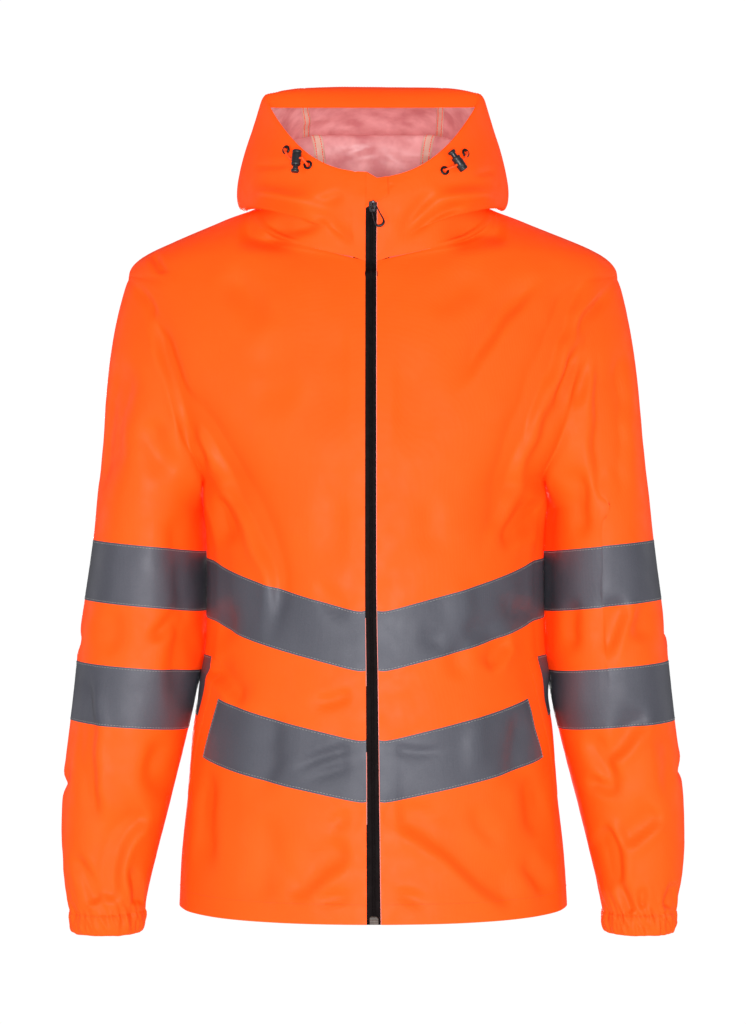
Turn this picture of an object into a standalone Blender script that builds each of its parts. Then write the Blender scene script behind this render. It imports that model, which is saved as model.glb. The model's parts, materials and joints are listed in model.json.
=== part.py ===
"""Hooded hi-vis work jacket, worn shape with no wearer in it.

Frame: metres, +Z up, the front of the jacket faces -Y, +X is to the right of
someone who looks at the front.  The origin is between the two points where the
neckline meets the shoulder seams.  Sizes below are in millimetres.
"""

import math
from collections import namedtuple

import bpy
import numpy as np
from mathutils import Vector

for old in list(bpy.data.objects):
    bpy.data.objects.remove(old, do_unlink=True)

MM = 0.001

# ----------------------------------------------------------------- sizes (mm)
CLOTH = 1.5          # wall of the shell cloth
TAPE = 1.0           # reflective tape
LIFT = 0.3           # air between a piece and what lies on it
SEAM = 0.2           # each piece ends this far from a seam line
AXIS_Y = 4.0         # the side line of the body lies this far behind the origin
ROUND = 0.87         # 2 / exponent of the body's oval sections
NECK_SIDE_Z = 19.6   # neckline height at the shoulder seam
NECK_FRONT_Z = -45.0
NECK_BACK_Z = 0.0
SHOULDER_TIP_Z = -53.0
ARMPIT_Z = -258.0
HEM_Z = -677.0
ZIP_EDGE = 11.0      # front cloth over each zip tape
ZIP_TAPE = 1.2
ZIP_TOP_RING = 7     # hood ring where the zip ends
CORD_R = 1.2
LOCK_R = 4.5
LOCK_L = 15.5
LOCK_BORE = 3.0
ROD_R = 2.6
KNOB_R = 3.9
KNOB_L = 6.0
PRESS = 3.5          # travel of a cord lock's plunger
EYELET_R = 4.6
EYELET_HOLE = 2.3

# ----------------------------------------------------------------- tables
# Level sections of the body, virtual under the sleeves above the armpit.
Body = namedtuple("Body", "z half_width front back")
BODY = (
    Body(19.6, 105.0, 60, 62),
    Body(5.0, 144.0, 74, 70),
    Body(-7.0, 172.5, 83, 78),
    Body(-19.0, 202.0, 90, 86),
    Body(-31.0, 228.0, 96, 93),
    Body(-45.0, 241.0, 102, 100),
    Body(-65.0, 247.0, 110, 109),
    Body(-100.0, 246.0, 121, 119),
    Body(-154.0, 236.0, 132, 127),
    Body(-200.0, 216.0, 139, 129),
    Body(-235.0, 190.0, 142, 129),
    Body(-258.0, 171.0, 143, 128),
    Body(-300.0, 165.0, 145, 125),
    Body(-350.0, 162.5, 146, 121),
    Body(-425.0, 165.0, 147, 121),
    Body(-470.0, 174.5, 149, 124),
    Body(-515.0, 180.5, 150, 128),
    Body(-575.0, 184.5, 152, 133),
    Body(-635.0, 191.5, 154, 138),
    Body(-677.0, 193.5, 155, 140),
)
# The zip wanders a little to each side, and its gap widens to the hem.
Zip = namedtuple("Zip", "z middle half_gap")
ZIP = (
    Zip(45.0, -1.0, 5.2),
    Zip(-45.0, -1.8, 4.8),
    Zip(-350.0, -2.0, 4.9),
    Zip(-450.0, -0.8, 5.2),
    Zip(-677.0, 1.0, 6.2),
)
# Armhole: turn is 0 at the armpit and 180 at the shoulder tip.
Arm = namedtuple("Arm", "turn front_angle back_angle")
ARMHOLE = (
    Arm(0.0, 84.0, 84.0),
    Arm(22.5, 71.5, 100.0),
    Arm(45.0, 63.5, 112.0),
    Arm(67.5, 57.5, 120.0),
    Arm(90.0, 55.5, 124.0),
    Arm(112.5, 56.0, 124.0),
    Arm(135.0, 61.5, 118.0),
    Arm(157.5, 73.0, 106.0),
    Arm(180.0, 90.0, 90.0),
)
# Side seam, forward of the side and slanting back along the pocket mouth.
Side = namedtuple("Side", "z angle")
SIDE = (
    Side(-258.0, 84.0),
    Side(-290.0, 74.5),
    Side(-325.0, 70.0),
    Side(-428.0, 70.0),
    Side(-488.0, 76.5),
    Side(-566.0, 87.0),
    Side(-677.0, 88.0),
)
# Rows of the fronts. inner is the height at the zip, or the neckline angle.
Front = namedtuple("Front", "inner outer")
FRONT_NECK = (  # neckline angle, shoulder seam height
    Front(80.0, 19.6),
    Front(60.0, 8.0),
    Front(42.0, -6.0),
    Front(26.0, -20.0),
    Front(12.0, -36.0),
)
FRONT_ARM = (  # height at the zip, armhole turn
    Front(-45.0, 180.0),
    Front(-68.0, 157.5),
    Front(-96.0, 135.0),
    Front(-128.0, 112.5),
    Front(-164.0, 90.0),
    Front(-202.0, 67.5),
    Front(-238.0, 45.0),
    Front(-268.0, 22.5),
    Front(-296.0, 0.0),
)
FRONT_SIDE = (  # height at the zip, height at the side seam
    Front(-335.0, -290.0),
    Front(-380.0, -334.0),   # upper tape, top
    Front(-438.0, -394.0),   # upper tape, bottom
    Front(-470.0, -428.0),   # pocket mouth, top
    Front(-503.0, -459.0),   # lower tape, top
    Front(-532.0, -488.0),
    Front(-561.0, -517.0),   # lower tape, bottom
    Front(-605.0, -566.0),   # pocket mouth, bottom
    Front(-640.0, -622.0),
    Front(HEM_Z, HEM_Z),
)
BACK_CENTRE = (  # height at the centre back for each of those rows
    -12.0, -24.0, -38.0, -54.0,
    -72.0, -88.0, -106.0, -130.0, -162.0, -196.0, -228.0, -250.0, -262.0,
    -288.0, -318.0, -378.0, -425.0, -455.0, -485.0, -517.0, -566.0, -622.0, HEM_Z,
)
# Columns of a front as shares of the way from the zip's stitched strip to the side.
FRONT_SHARE = (0.0, 0.15, 0.30, 0.45, 0.59, 0.72, 0.80, 0.895, 1.0)
BACK_SHARE = (0.0, 0.14, 0.28, 0.42, 0.56, 0.70, 0.84, 1.0)
# Largest folds of the body: a soft trough from one point to another.
Fold = namedtuple("Fold", "name x0 z0 x1 z1 width depth")
FOLDS = (
    Fold("left drag line from the armpit", -178, -150, -98, -350, 17, 7.0),
    Fold("right line beside the armhole", 200, -50, 112, -330, 20, 6.0),
    Fold("right line across the chest", 172, -40, 74, -165, 17, 4.0),
    Fold("right line from the zip to the hem", 14, -572, 112, -652, 20, 7.0),
    Fold("left line from the zip to the hem", -22, -590, -84, -672, 20, 5.0),
)
# Sleeve sections: centre height, outer and inner side, front and back, and how much
# higher the outer side of the ring lies than its middle.
Sleeve = namedtuple("Sleeve", "z outer inner front back tilt")
SLEEVE = (
    Sleeve(-278.0, 275.0, 171.5, -70, 74, 12.0),
    Sleeve(-319.5, 280.0, 169.5, -69, 72, 5.5),    # upper tape, top
    Sleeve(-380.0, 288.0, 169.5, -68, 69, 6.0),    # upper tape, bottom
    Sleeve(-410.0, 292.5, 169.5, -68, 67, 5.5),
    Sleeve(-438.5, 295.0, 172.0, -68, 65, 5.0),    # lower tape, top
    Sleeve(-498.5, 301.5, 185.5, -67, 58, 4.5),    # lower tape, bottom
    Sleeve(-530.0, 305.5, 193.0, -66, 53, 4.0),
    Sleeve(-560.0, 308.5, 200.0, -64, 48, 3.0),
    Sleeve(-590.0, 310.0, 207.0, -61, 43, 2.0),
    Sleeve(-620.0, 310.0, 214.0, -58, 38, 1.0),
    Sleeve(-648.0, 307.5, 220.5, -55, 33, 0.5),
    Sleeve(-668.0, 304.5, 225.0, -52, 29, 0.0),
    Sleeve(-682.5, 301.5, 228.0, -50, 26, 0.0),
)
CUFF = (
    Sleeve(-682.5, 301.5, 228.0, -50, 26, 0.0),
    Sleeve(-692.0, 302.0, 227.5, -50, 26, 0.0),
    Sleeve(-704.0, 299.5, 230.0, -48, 24, 0.0),
)
SLEEVE_TOP_RINGS = 5
SLEEVE_TAPES = ((1, 2), (4, 5))     # rows of SLEEVE that bound the tapes
GATHER = 1.6                        # depth of the cuff's gathers
# Hood rings from the neckline up, out over the sides, down the inside of the back,
# back into the slumped crown and forward over the top to the brim.
# spread goes from the neckline's way round to the face opening's.
# arch below 1 squares the ring's rise from its sides to its back.
Hood = namedtuple(
    "Hood", "name side_x side_y side_z front_y front_z back_y back_z spread column arch")
HOOD = (
    Hood("stand", 113.0, 6, 23.0, -100, -34, 74, 20, 0.00, 0.00, 1.0),
    Hood("overhang", 124.0, 6, 15.5, -101, -24, 71, 48, 0.05, 0.00, 1.0),
    Hood("sill", 131.5, 5, 14.5, -102, -14, 62, 80, 0.08, 0.00, 1.0),
    Hood("roll", 135.5, 4, 23.0, -102, -4, 70, 101, 0.12, 0.05, 1.0),
    Hood("roll back", 136.0, 3, 37.0, -102, 6, 98, 82, 0.20, 0.15, 1.0),
    Hood("pouch", 133.5, 1, 54.0, -102, 14, 124, 44, 0.35, 0.30, 1.0),
    Hood("pouch back", 129.0, -3, 73.0, -101, 21, 150, 62, 0.50, 0.45, 1.0),
    Hood("crown back", 122.5, -10, 92.0, -100, 27, 138, 104, 0.68, 0.62, 0.8),
    Hood("crown", 116.0, -20, 109.0, -99, 32, 76, 131, 0.84, 0.80, 0.5),
    Hood("crest", 109.0, -34, 124.0, -98, 37, -20, 137.5, 0.96, 0.95, 0.3),
    Hood("edge", 101.5, -44, 111.0, -97, 41, -42, 111.0, 1.00, 1.00, 1.0),
)
# Columns of the hood's half: angle round the neckline and round the face opening.
Column = namedtuple("Column", "neck edge")
HOOD_COLUMN = (
    Column(12.0, 14.0), Column(26.0, 28.0), Column(42.0, 43.0), Column(60.0, 58.0),
    Column(80.0, 74.0), Column(90.0, 90.0), Column(103.0, 97.0),
    Column(116.0, 103.0), Column(129.0, 109.0), Column(143.0, 115.0),
    Column(158.0, 121.0), Column(169.0, 150.0), Column(180.0, 180.0),
)
HOOD_CORNER = 7      # column of the brim's corner, counted with the two zip columns
HOOD_SEAM = 12       # column of the seam between side and centre
CHIN_STEP = -6.0     # the right side's edge is lower at the chin

COLOURS = {
    "shell": ((0.95, 0.12, 0.015), 0.55, 0.0),
    "tape": ((0.16, 0.165, 0.18), 0.40, 0.3),
    "black": ((0.012, 0.012, 0.014), 0.45, 0.0),
    "cord": ((0.95, 0.14, 0.02), 0.7, 0.0),
    "stop": ((0.12, 0.08, 0.05), 0.5, 0.0),
    "loop": ((0.35, 0.02, 0.02), 0.7, 0.0),
}


# ----------------------------------------------------------------- helpers
def smooth(rows, key, column, at):
    """Monotone cubic through a table's column, against its key column."""
    pts = sorted((getattr(r, key), getattr(r, column)) for r in rows)
    xs = np.array([p[0] for p in pts], float)
    ys = np.array([p[1] for p in pts], float)
    h = np.diff(xs)
    d = np.diff(ys) / h
    m = np.empty(len(xs))
    m[0], m[-1] = d[0], d[-1]
    for i in range(1, len(xs) - 1):
        if d[i - 1] * d[i] <= 0:
            m[i] = 0
        else:
            w1, w2 = 2 * h[i] + h[i - 1], h[i] + 2 * h[i - 1]
            m[i] = (w1 + w2) / (w1 / d[i - 1] + w2 / d[i])
    at = min(max(at, xs[0]), xs[-1])
    i = min(int(np.searchsorted(xs, at, side="right")) - 1, len(h) - 1)
    t = (at - xs[i]) / h[i]
    return float(
        ys[i] * (1 + 2 * t) * (1 - t) ** 2 + m[i] * h[i] * t * (1 - t) ** 2
        + ys[i + 1] * t * t * (3 - 2 * t) + m[i + 1] * h[i] * t * t * (t - 1))


def power(value, exponent):
    return math.copysign(abs(value) ** exponent, value)


def unit(v):
    n = np.linalg.norm(v)
    return v / n if n > 1e-9 else v


def fold_depth(x, z):
    """How far the folds push the front in at this place."""
    total = 0.0
    for f in FOLDS:
        ax, az, bx, bz = f.x0, f.z0, f.x1, f.z1
        lx, lz = bx - ax, bz - az
        t = ((x - ax) * lx + (z - az) * lz) / (lx * lx + lz * lz)
        if t <= 0 or t >= 1:
            continue
        across = ((x - ax) * lz - (z - az) * lx) / math.hypot(lx, lz)
        along = math.sin(math.pi * t) ** 0.7
        total += f.depth * along * (
            math.exp(-(across / f.width) ** 2)
            - 0.55 * math.exp(-((abs(across) - 1.9 * f.width) / f.width) ** 2))
    return total


def body(side, angle, z):
    """Point of the body: side is -1 or 1, angle 0 at the front middle, 180 at the back."""
    s, c = math.sin(math.radians(angle)), math.cos(math.radians(angle))
    x = smooth(BODY, "z", "half_width", z) * power(s, ROUND) * side
    depth = smooth(BODY, "z", "front" if c > 0 else "back", z)
    y = AXIS_Y - depth * power(c, ROUND)
    if c > 0:
        near_side = max(0.0, 1 - (s ** 6))
        y += fold_depth(x, z) * near_side
    return np.array([x, y, z])


def neck_z(angle):
    middle = NECK_FRONT_Z if angle < 90 else NECK_BACK_Z
    return middle + (NECK_SIDE_Z - middle) * math.sin(math.radians(angle))


def arm_z(turn):
    mid, half = (SHOULDER_TIP_Z + ARMPIT_Z) / 2, (SHOULDER_TIP_Z - ARMPIT_Z) / 2
    return mid - half * math.cos(math.radians(turn))


def zip_x(side, z, extra=0.0):
    return smooth(ZIP, "z", "middle", z) + side * (smooth(ZIP, "z", "half_gap", z) + extra)


def angle_at_x(side, x, z):
    share = min(max(side * x / smooth(BODY, "z", "half_width", z), 0.0), 1.0)
    return math.degrees(math.asin(share ** (1 / ROUND)))


def spaced(side, start, end, shares):
    """Points on the body from start to end (angle, z), at shares of the arc between."""
    n = 48
    line = np.array([
        body(side, start[0] + (end[0] - start[0]) * i / n,
             start[1] + (end[1] - start[1]) * i / n) for i in range(n + 1)])
    arc = np.concatenate([[0], np.cumsum(np.linalg.norm(np.diff(line, axis=0), axis=1))])
    out = []
    for share in shares:
        t = float(np.interp(share * arc[-1], arc, np.linspace(0, 1, n + 1)))
        z = start[1] + (end[1] - start[1]) * share
        out.append(body(side, start[0] + (end[0] - start[0]) * t, z))
    return np.array(out)


def front_grid(side):
    rows = []
    first = FRONT_NECK[0]
    inner = body(side, first.inner, neck_z(first.inner))
    tip = body(side, 90, NECK_SIDE_Z)
    rows.append([inner + (tip - inner) * s
                 for s in [0.0] + [0.12 + 0.88 * q for q in FRONT_SHARE]])
    for r in FRONT_NECK[1:]:
        start, end = (r.inner, neck_z(r.inner)), (90.0, r.outer)
        rows.append(spaced(side, start, end,
                           [0.0] + [0.10 + 0.90 * q for q in FRONT_SHARE]))
    for r in FRONT_ARM + FRONT_SIDE:
        z0 = r.inner
        if r in FRONT_ARM:
            end = (smooth(ARMHOLE, "turn", "front_angle", r.outer), arm_z(r.outer))
        else:
            end = (smooth(SIDE, "z", "angle", r.outer), r.outer)
        edge = (angle_at_x(side, zip_x(side, z0), z0), z0)
        strip = (angle_at_x(side, zip_x(side, z0, ZIP_EDGE), z0), z0)
        first_point = body(side, *edge)
        first_point[0] = zip_x(side, z0)
        rows.append([first_point] + list(spaced(side, strip, end, FRONT_SHARE)))
    return np.array(rows)


def back_grid():
    outer = [(90.0, r.outer) for r in FRONT_NECK[1:]]
    outer += [(smooth(ARMHOLE, "turn", "back_angle", r.outer), arm_z(r.outer))
              for r in FRONT_ARM]
    outer += [(smooth(SIDE, "z", "angle", r.outer), r.outer) for r in FRONT_SIDE]
    necks = [c.neck for c in HOOD_COLUMN if c.neck >= 90.0]
    grid = [[body(-1, a, neck_z(a)) for a in necks]
            + [body(1, a, neck_z(a)) for a in reversed(necks[:-1])]]
    for centre, end in zip(BACK_CENTRE, outer):
        left = list(spaced(-1, (180.0, centre), end, BACK_SHARE))
        right = list(spaced(1, (180.0, centre), end, BACK_SHARE))
        grid.append(left[::-1] + right[1:])
    return np.array(grid)


def arm_loop(side):
    """The armhole, from the armpit round the front to the shoulder and down the back."""
    loop = []
    for r in ARMHOLE:
        loop.append(body(side, r.front_angle, arm_z(r.turn)))
    for r in reversed(ARMHOLE[1:-1]):
        loop.append(body(side, r.back_angle, arm_z(r.turn)))
    return np.array(loop)


def ring(row, side, turn, gather=0.0):
    c, s = math.cos(math.radians(turn)), math.sin(math.radians(turn))
    middle, half = (row.outer + row.inner) / 2, (row.outer - row.inner) / 2
    y_mid, y_half = (row.front + row.back) / 2, (row.back - row.front) / 2
    wave = 1 + gather / half
    x = side * (middle - half * power(c, 0.93) * wave)
    y = y_mid - y_half * power(s, 0.93) * wave
    return np.array([x, y, row.z - row.tilt * c])


def sleeve_grid(side):
    turns = [22.5 * k for k in range(16)]
    start = arm_loop(side)
    first = np.array([ring(SLEEVE[0], side, t) for t in turns])
    grid = [start]
    for step in range(1, SLEEVE_TOP_RINGS):
        u = step / SLEEVE_TOP_RINGS
        row = []
        for k, turn in enumerate(turns):
            c, s = math.cos(math.radians(turn)), math.sin(math.radians(turn))
            length = np.linalg.norm(first[k] - start[k])
            out = 0.5 * (1 - c)
            t0 = unit(np.array([side * (0.34 * out + 0.30 * abs(s)), 0.10 * s, -1.0])) * length
            t1 = unit(np.array([side * 0.15 * out, 0.0, -1.0])) * length
            row.append((2 * u ** 3 - 3 * u * u + 1) * start[k] + (u ** 3 - 2 * u * u + u) * t0
                       + (3 * u * u - 2 * u ** 3) * first[k] + (u ** 3 - u * u) * t1)
        grid.append(np.array(row))
    for row in SLEEVE:
        grid.append(np.array([ring(row, side, t) for t in turns]))
    return np.array(grid)


def cuff_grid(side):
    grid = []
    for row in CUFF:
        grid.append(np.array([
            ring(row, side, 15.0 * k,
                 GATHER * (1 if k % 2 else -1) * (0.5 + 0.5 * math.sin(2.1 * k + side)) * 0.5)
            for k in range(24)]))
    return np.array(grid)


def hood_point(side, row, column):
    """Point of a hood ring above the neckline."""
    angle = column.neck + (column.edge - column.neck) * row.column
    s, c = math.sin(math.radians(angle)), math.cos(math.radians(angle))
    w = row.spread
    if angle <= 90:
        across = (1 - w) * power(s, ROUND) + w * angle / 90
        x = row.side_x * across
        lift = (1 - w) * s + w * (angle / 90) ** 2.7
        back = (1 - w) * (1 - power(c, ROUND)) + w * (angle / 90) ** 3.3
        y = row.front_y + (row.side_y - row.front_y) * back
        low = row.front_z + (CHIN_STEP * w ** 2 if side > 0 else 0.0) * max(0.0, 1 - angle / 60)
        z = low + (row.side_z - low) * lift
    else:
        across = (1 - w) * power(s, ROUND) + w * (180 - angle) / 90
        x = row.side_x * across
        inward = 1 - s ** 5
        y = row.side_y + (row.back_y - row.side_y) * (0.6 * inward + 0.4 * power(-c, ROUND))
        z = row.side_z + (row.back_z - row.side_z) * inward ** row.arch
    return np.array([side * x, y, z])


def hood_grid():
    """Rows are the neckline and the rings above it; columns run from the left zip edge
    round the back to the right zip edge."""
    def half(side):
        rows = []
        z0 = NECK_FRONT_Z
        edge = np.array([zip_x(side, z0), 0, z0])
        edge[1] = body(side, angle_at_x(side, edge[0], z0), z0)[1]
        neck = [body(side, c.neck, neck_z(c.neck)) for c in HOOD_COLUMN]
        strip = edge + (neck[0] - edge) * (ZIP_EDGE / abs(neck[0][0] - edge[0]))
        rows.append([edge, strip] + neck)
        for r in HOOD:
            line = [hood_point(side, r, c) for c in HOOD_COLUMN]
            z = r.front_z + (CHIN_STEP * r.spread ** 2 if side > 0 else 0.0)
            e = np.array([zip_x(side, z), r.front_y, z])
            st = e + (line[0] - e) * (ZIP_EDGE / abs(line[0][0] - e[0]))
            rows.append([e, st] + line)
        return rows
    left, right = half(-1), half(1)
    return np.array([a + b[::-1][1:] for a, b in zip(left, right)])


def normals(grid, wrap=False):
    """Unit normals of a grid by its neighbours, as the cross of rows and columns."""
    if wrap:
        dc = np.roll(grid, -1, 1) - np.roll(grid, 1, 1)
    else:
        dc = np.empty_like(grid)
        dc[:, 1:-1] = grid[:, 2:] - grid[:, :-2]
        dc[:, 0], dc[:, -1] = grid[:, 1] - grid[:, 0], grid[:, -1] - grid[:, -2]
    dr = np.empty_like(grid)
    dr[1:-1] = grid[2:] - grid[:-2]
    dr[0], dr[-1] = grid[1] - grid[0], grid[-1] - grid[-2]
    n = np.cross(dr, dc)
    return n / np.maximum(np.linalg.norm(n, axis=2, keepdims=True), 1e-9)


def agree(*places, away=0.0):
    """Two or more pieces share the mean of their normals at a seam point. away is added
    where the seam is a sharp crease, whose wall lies level."""
    mean = unit(sum(array[index] for array, index in places) + away)
    for array, index in places:
        array[index] = mean


def level(point):
    """Level direction from the neck's axis to a point."""
    return unit(np.array([point[0], (point[1] - AXIS_Y) * 1.8, 0.0]))


# ----------------------------------------------------------------- solids
MATERIALS = {}


def material(name):
    if name not in MATERIALS:
        colour, rough, metal = COLOURS[name]
        m = bpy.data.materials.new(name)
        m.use_nodes = True
        shader = m.node_tree.nodes["Principled BSDF"]
        shader.inputs["Base Color"].default_value = (*colour, 1)
        shader.inputs["Roughness"].default_value = rough
        shader.inputs["Metallic"].default_value = metal
        m.diffuse_color = (*colour, 1)
        MATERIALS[name] = m
    return MATERIALS[name]


def add(name, verts, faces, mat, origin=(0, 0, 0)):
    """A mesh object from points in millimetres; its faces are turned outward."""
    o = np.array(origin, float)
    v = np.array(verts, float)
    volume = sum(np.dot(v[f[0]], np.cross(v[f[i]], v[f[i + 1]]))
                 for f in faces for i in range(1, len(f) - 1))
    if volume < 0:
        faces = [list(reversed(f)) for f in faces]
    mesh = bpy.data.meshes.new(name)
    mesh.from_pydata([tuple((np.array(v) - o) * MM) for v in verts], [], faces)
    mesh.validate()
    mesh.update()
    obj = bpy.data.objects.new(name, mesh)
    obj.location = Vector(o * MM)
    bpy.context.scene.collection.objects.link(obj)
    mesh.materials.append(material(mat))
    return obj


def wall(name, grid, norm, cells, mat, low=-CLOTH, high=0.0, wrap=False, gap=SEAM):
    """A closed wall over some cells of a grid, from low to high along the normals.
    Its free edges are drawn back from the seam lines by gap."""
    rows, cols = grid.shape[:2]

    def corner(r, c):
        return (r, c % cols) if wrap else (r, c)
    cells = sorted(cells)
    edges = {}
    used = set()
    for r, c in cells:
        quad = [corner(r, c), corner(r + 1, c), corner(r + 1, c + 1), corner(r, c + 1)]
        used.update(quad)
        centre = sum(grid[q] for q in quad) / 4
        for a, b in zip(quad, quad[1:] + quad[:1]):
            if (b, a) in edges:
                del edges[(b, a)]
            else:
                edges[(a, b)] = centre
    inward = {}
    for (a, b), centre in edges.items():
        along = unit(grid[b] - grid[a])
        towards = centre - grid[a]
        towards = unit(towards - along * float(np.dot(towards, along)))
        inward.setdefault(a, []).append(towards)
        inward.setdefault(b, []).append(towards)
    index, verts = {}, []
    for q in sorted(used):
        p = grid[q].copy()
        if q in inward and gap:
            ways = inward[q]
            p = p + gap * sum(ways) / max(0.5, 1 + float(np.dot(ways[0], ways[-1])))
        index[q] = len(verts)
        verts.append(p + norm[q] * high)
        verts.append(p + norm[q] * low)
    faces = []
    for r, c in cells:
        quad = [corner(r, c), corner(r + 1, c), corner(r + 1, c + 1), corner(r, c + 1)]
        top = [index[q] for q in quad]
        for tri in ((0, 1, 2), (0, 2, 3)):
            t = [top[i] for i in tri]
            faces.append(t)
            faces.append([i + 1 for i in reversed(t)])
    for a, b in edges:             # both pieces at a seam split its strip the same way
        ia, ib = index[a], index[b]
        if tuple(np.round(grid[a], 3)) < tuple(np.round(grid[b], 3)):
            faces.append([ib, ia, ia + 1])
            faces.append([ib, ia + 1, ib + 1])
        else:
            faces.append([ib, ia, ib + 1])
            faces.append([ia, ia + 1, ib + 1])
    return add(name, verts, faces, mat)


def block(rows, cols):
    return [(r, c) for r in range(*rows) for c in range(*cols)]


# grids -----------------------------------------------------------------
FL, FR = front_grid(-1), front_grid(1)
BK = back_grid()
SL, SR = sleeve_grid(-1), sleeve_grid(1)
HD = hood_grid()


def outward(grid, row_centres, wrap=False):
    """Normals that point away from the middle of each row."""
    n = normals(grid, wrap)
    return n if np.einsum("rck,rck->", n, grid - row_centres) > 0 else -n


def row_middle(grid):
    return grid.mean(axis=1, keepdims=True)


body_axis = np.array([0.0, AXIS_Y, 0.0])
NFL, NFR, NBK = (outward(g, np.concatenate(
    [np.full(g.shape[:2] + (1,), body_axis[0]), np.full(g.shape[:2] + (1,), body_axis[1]),
     g[..., 2:]], axis=2)) for g in (FL, FR, BK))
NSL, NSR = (outward(g, row_middle(g), True) for g in (SL, SR))
NHD = normals(HD)
if NHD[3, 1, 1] > 0:
    NHD = -NHD
for step, corner_column in ((1, HOOD_CORNER), (-1, HD.shape[1] - 1 - HOOD_CORNER)):
    for back in range(1, HOOD_CORNER):         # the sides of the opening run into a point
        c = corner_column - step * back
        NHD[-1, c] = NHD[-2, c]
    for r in range(HD.shape[0] - 3, HD.shape[0]):
        NHD[r, corner_column] = unit(NHD[r, corner_column - step] + NHD[r, corner_column + step])

N_NECK, N_ARM, N_SIDE = len(FRONT_NECK), len(FRONT_ARM), len(FRONT_SIDE)
LAST_F, LAST_B = FL.shape[1] - 1, BK.shape[1] - 1
MID_B = LAST_B // 2
LAST_H = HD.shape[1] - 1
ARM0, SIDE0 = N_NECK, N_NECK + N_ARM      # first armhole row and first side row

for fn, sn, outer, hood_first, sign in (
        (NFL, NSL, 0, 0, 1), (NFR, NSR, LAST_B, LAST_H, -1)):
    # shoulder and side seams
    for r in range(1, FL.shape[0]):
        if r < ARM0 or r >= SIDE0:
            agree((fn, (r, LAST_F)), (NBK, (r, outer)))
    # armhole: the tips of the seam belong to three pieces
    for k in range(N_ARM):
        r = ARM0 + k
        front_column, back_column = 8 - k, (8 + k) % 16
        if k in (0, N_ARM - 1):
            agree((fn, (r, LAST_F)), (NBK, (r, outer)))
            agree((fn, (r, LAST_F)), (sn, (0, front_column)))
            if k:                      # the armpit is a crease: its wall goes straight up
                fn[r, LAST_F] = sn[0, front_column] = (0, 0, -1)
            NBK[r, outer] = fn[r, LAST_F]
        else:
            agree((fn, (r, LAST_F)), (sn, (0, front_column)))
            agree((NBK, (r, outer)), (sn, (0, back_column)))
    # neckline
    for r in range(N_NECK + 1):
        hood_column = hood_first + sign * (0 if r == N_NECK else 2 + (N_NECK - 1 - r))
        agree((fn, (r, 0)), (NHD, (0, hood_column)), away=level(HD[0, hood_column]))
    agree((fn, (0, LAST_F)), (NBK, (0, outer)), (NHD, (0, hood_first + sign * 7)),
          away=2 * level(HD[0, hood_first + sign * 7]))
    top = unit(fn[0, 0] + fn[0, LAST_F])
    for c in range(1, LAST_F):
        share = c / LAST_F
        fn[0, c] = unit(fn[0, 0] * (1 - share) + fn[0, LAST_F] * share)
# back neckline
for c in range(1, LAST_B):
    agree((NBK, (0, c)), (NHD, (0, 7 + c)), away=level(HD[0, 7 + c]))

# shell cloth -------------------------------------------------------------
all_front = block((0, FL.shape[0] - 1), (0, LAST_F))
wall("front_left", FL, NFL, all_front, "shell")
wall("front_right", FR, NFR, all_front, "shell")
wall("back", BK, NBK, block((0, BK.shape[0] - 1), (0, LAST_B)), "shell")
all_sleeve = block((0, SL.shape[0] - 1), (0, 16))
wall("sleeve_left", SL, NSL, all_sleeve, "shell", wrap=True)
wall("sleeve_right", SR, NSR, all_sleeve, "shell", wrap=True)
for side, tag in ((-1, "left"), (1, "right")):
    g = cuff_grid(side)
    n = outward(g, row_middle(g), True)
    wall("cuff_" + tag, g, n, block((0, 2), (0, 24)), "shell", wrap=True)

rings = HD.shape[0] - 1
brim = [(rings - 1, c) for c in range(HOOD_CORNER, LAST_H - HOOD_CORNER)]
left = [q for q in block((0, rings), (0, HOOD_SEAM)) if q not in brim]
centre = [q for q in block((0, rings), (HOOD_SEAM, LAST_H - HOOD_SEAM)) if q not in brim]
right = [q for q in block((0, rings), (LAST_H - HOOD_SEAM, LAST_H)) if q not in brim]
wall("hood_left", HD, NHD, left, "shell")
wall("hood_centre", HD, NHD, centre, "shell")
wall("hood_right", HD, NHD, right, "shell")
wall("hood_brim", HD, NHD, brim, "shell", gap=0.5)

# reflective tape and pocket welts, made from the panels' points moved out -------
UPPER, LOWER, POCKET = SIDE0 + 1, SIDE0 + 4, SIDE0 + 3
on = dict(low=LIFT, high=LIFT + TAPE)
for g, n, tag in ((FL, NFL, "left"), (FR, NFR, "right")):
    wall("tape_front_upper_" + tag, g, n, block((UPPER, UPPER + 1), (0, LAST_F)), "tape",
         **on)
    wall("tape_front_lower_" + tag, g, n, block((LOWER, LOWER + 2), (0, LAST_F - 2)), "tape",
         **on)
    wall("pocket_welt_" + tag, g, n, block((POCKET, POCKET + 4), (LAST_F - 1, LAST_F)),
         "shell", **on)
wall("tape_back_upper", BK, NBK, block((UPPER, UPPER + 1), (0, LAST_B)), "tape", **on)
wall("tape_back_lower", BK, NBK, block((POCKET, POCKET + 2), (0, LAST_B)), "tape", **on)
for g, n, tag in ((SL, NSL, "left"), (SR, NSR, "right")):
    for (a, b), level in zip(SLEEVE_TAPES, ("upper", "lower")):
        wall("tape_sleeve_%s_%s" % (level, tag), g, n,
             block((SLEEVE_TOP_RINGS + a, SLEEVE_TOP_RINGS + b), (0, 16)), "tape",
             wrap=True, **on)

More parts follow.
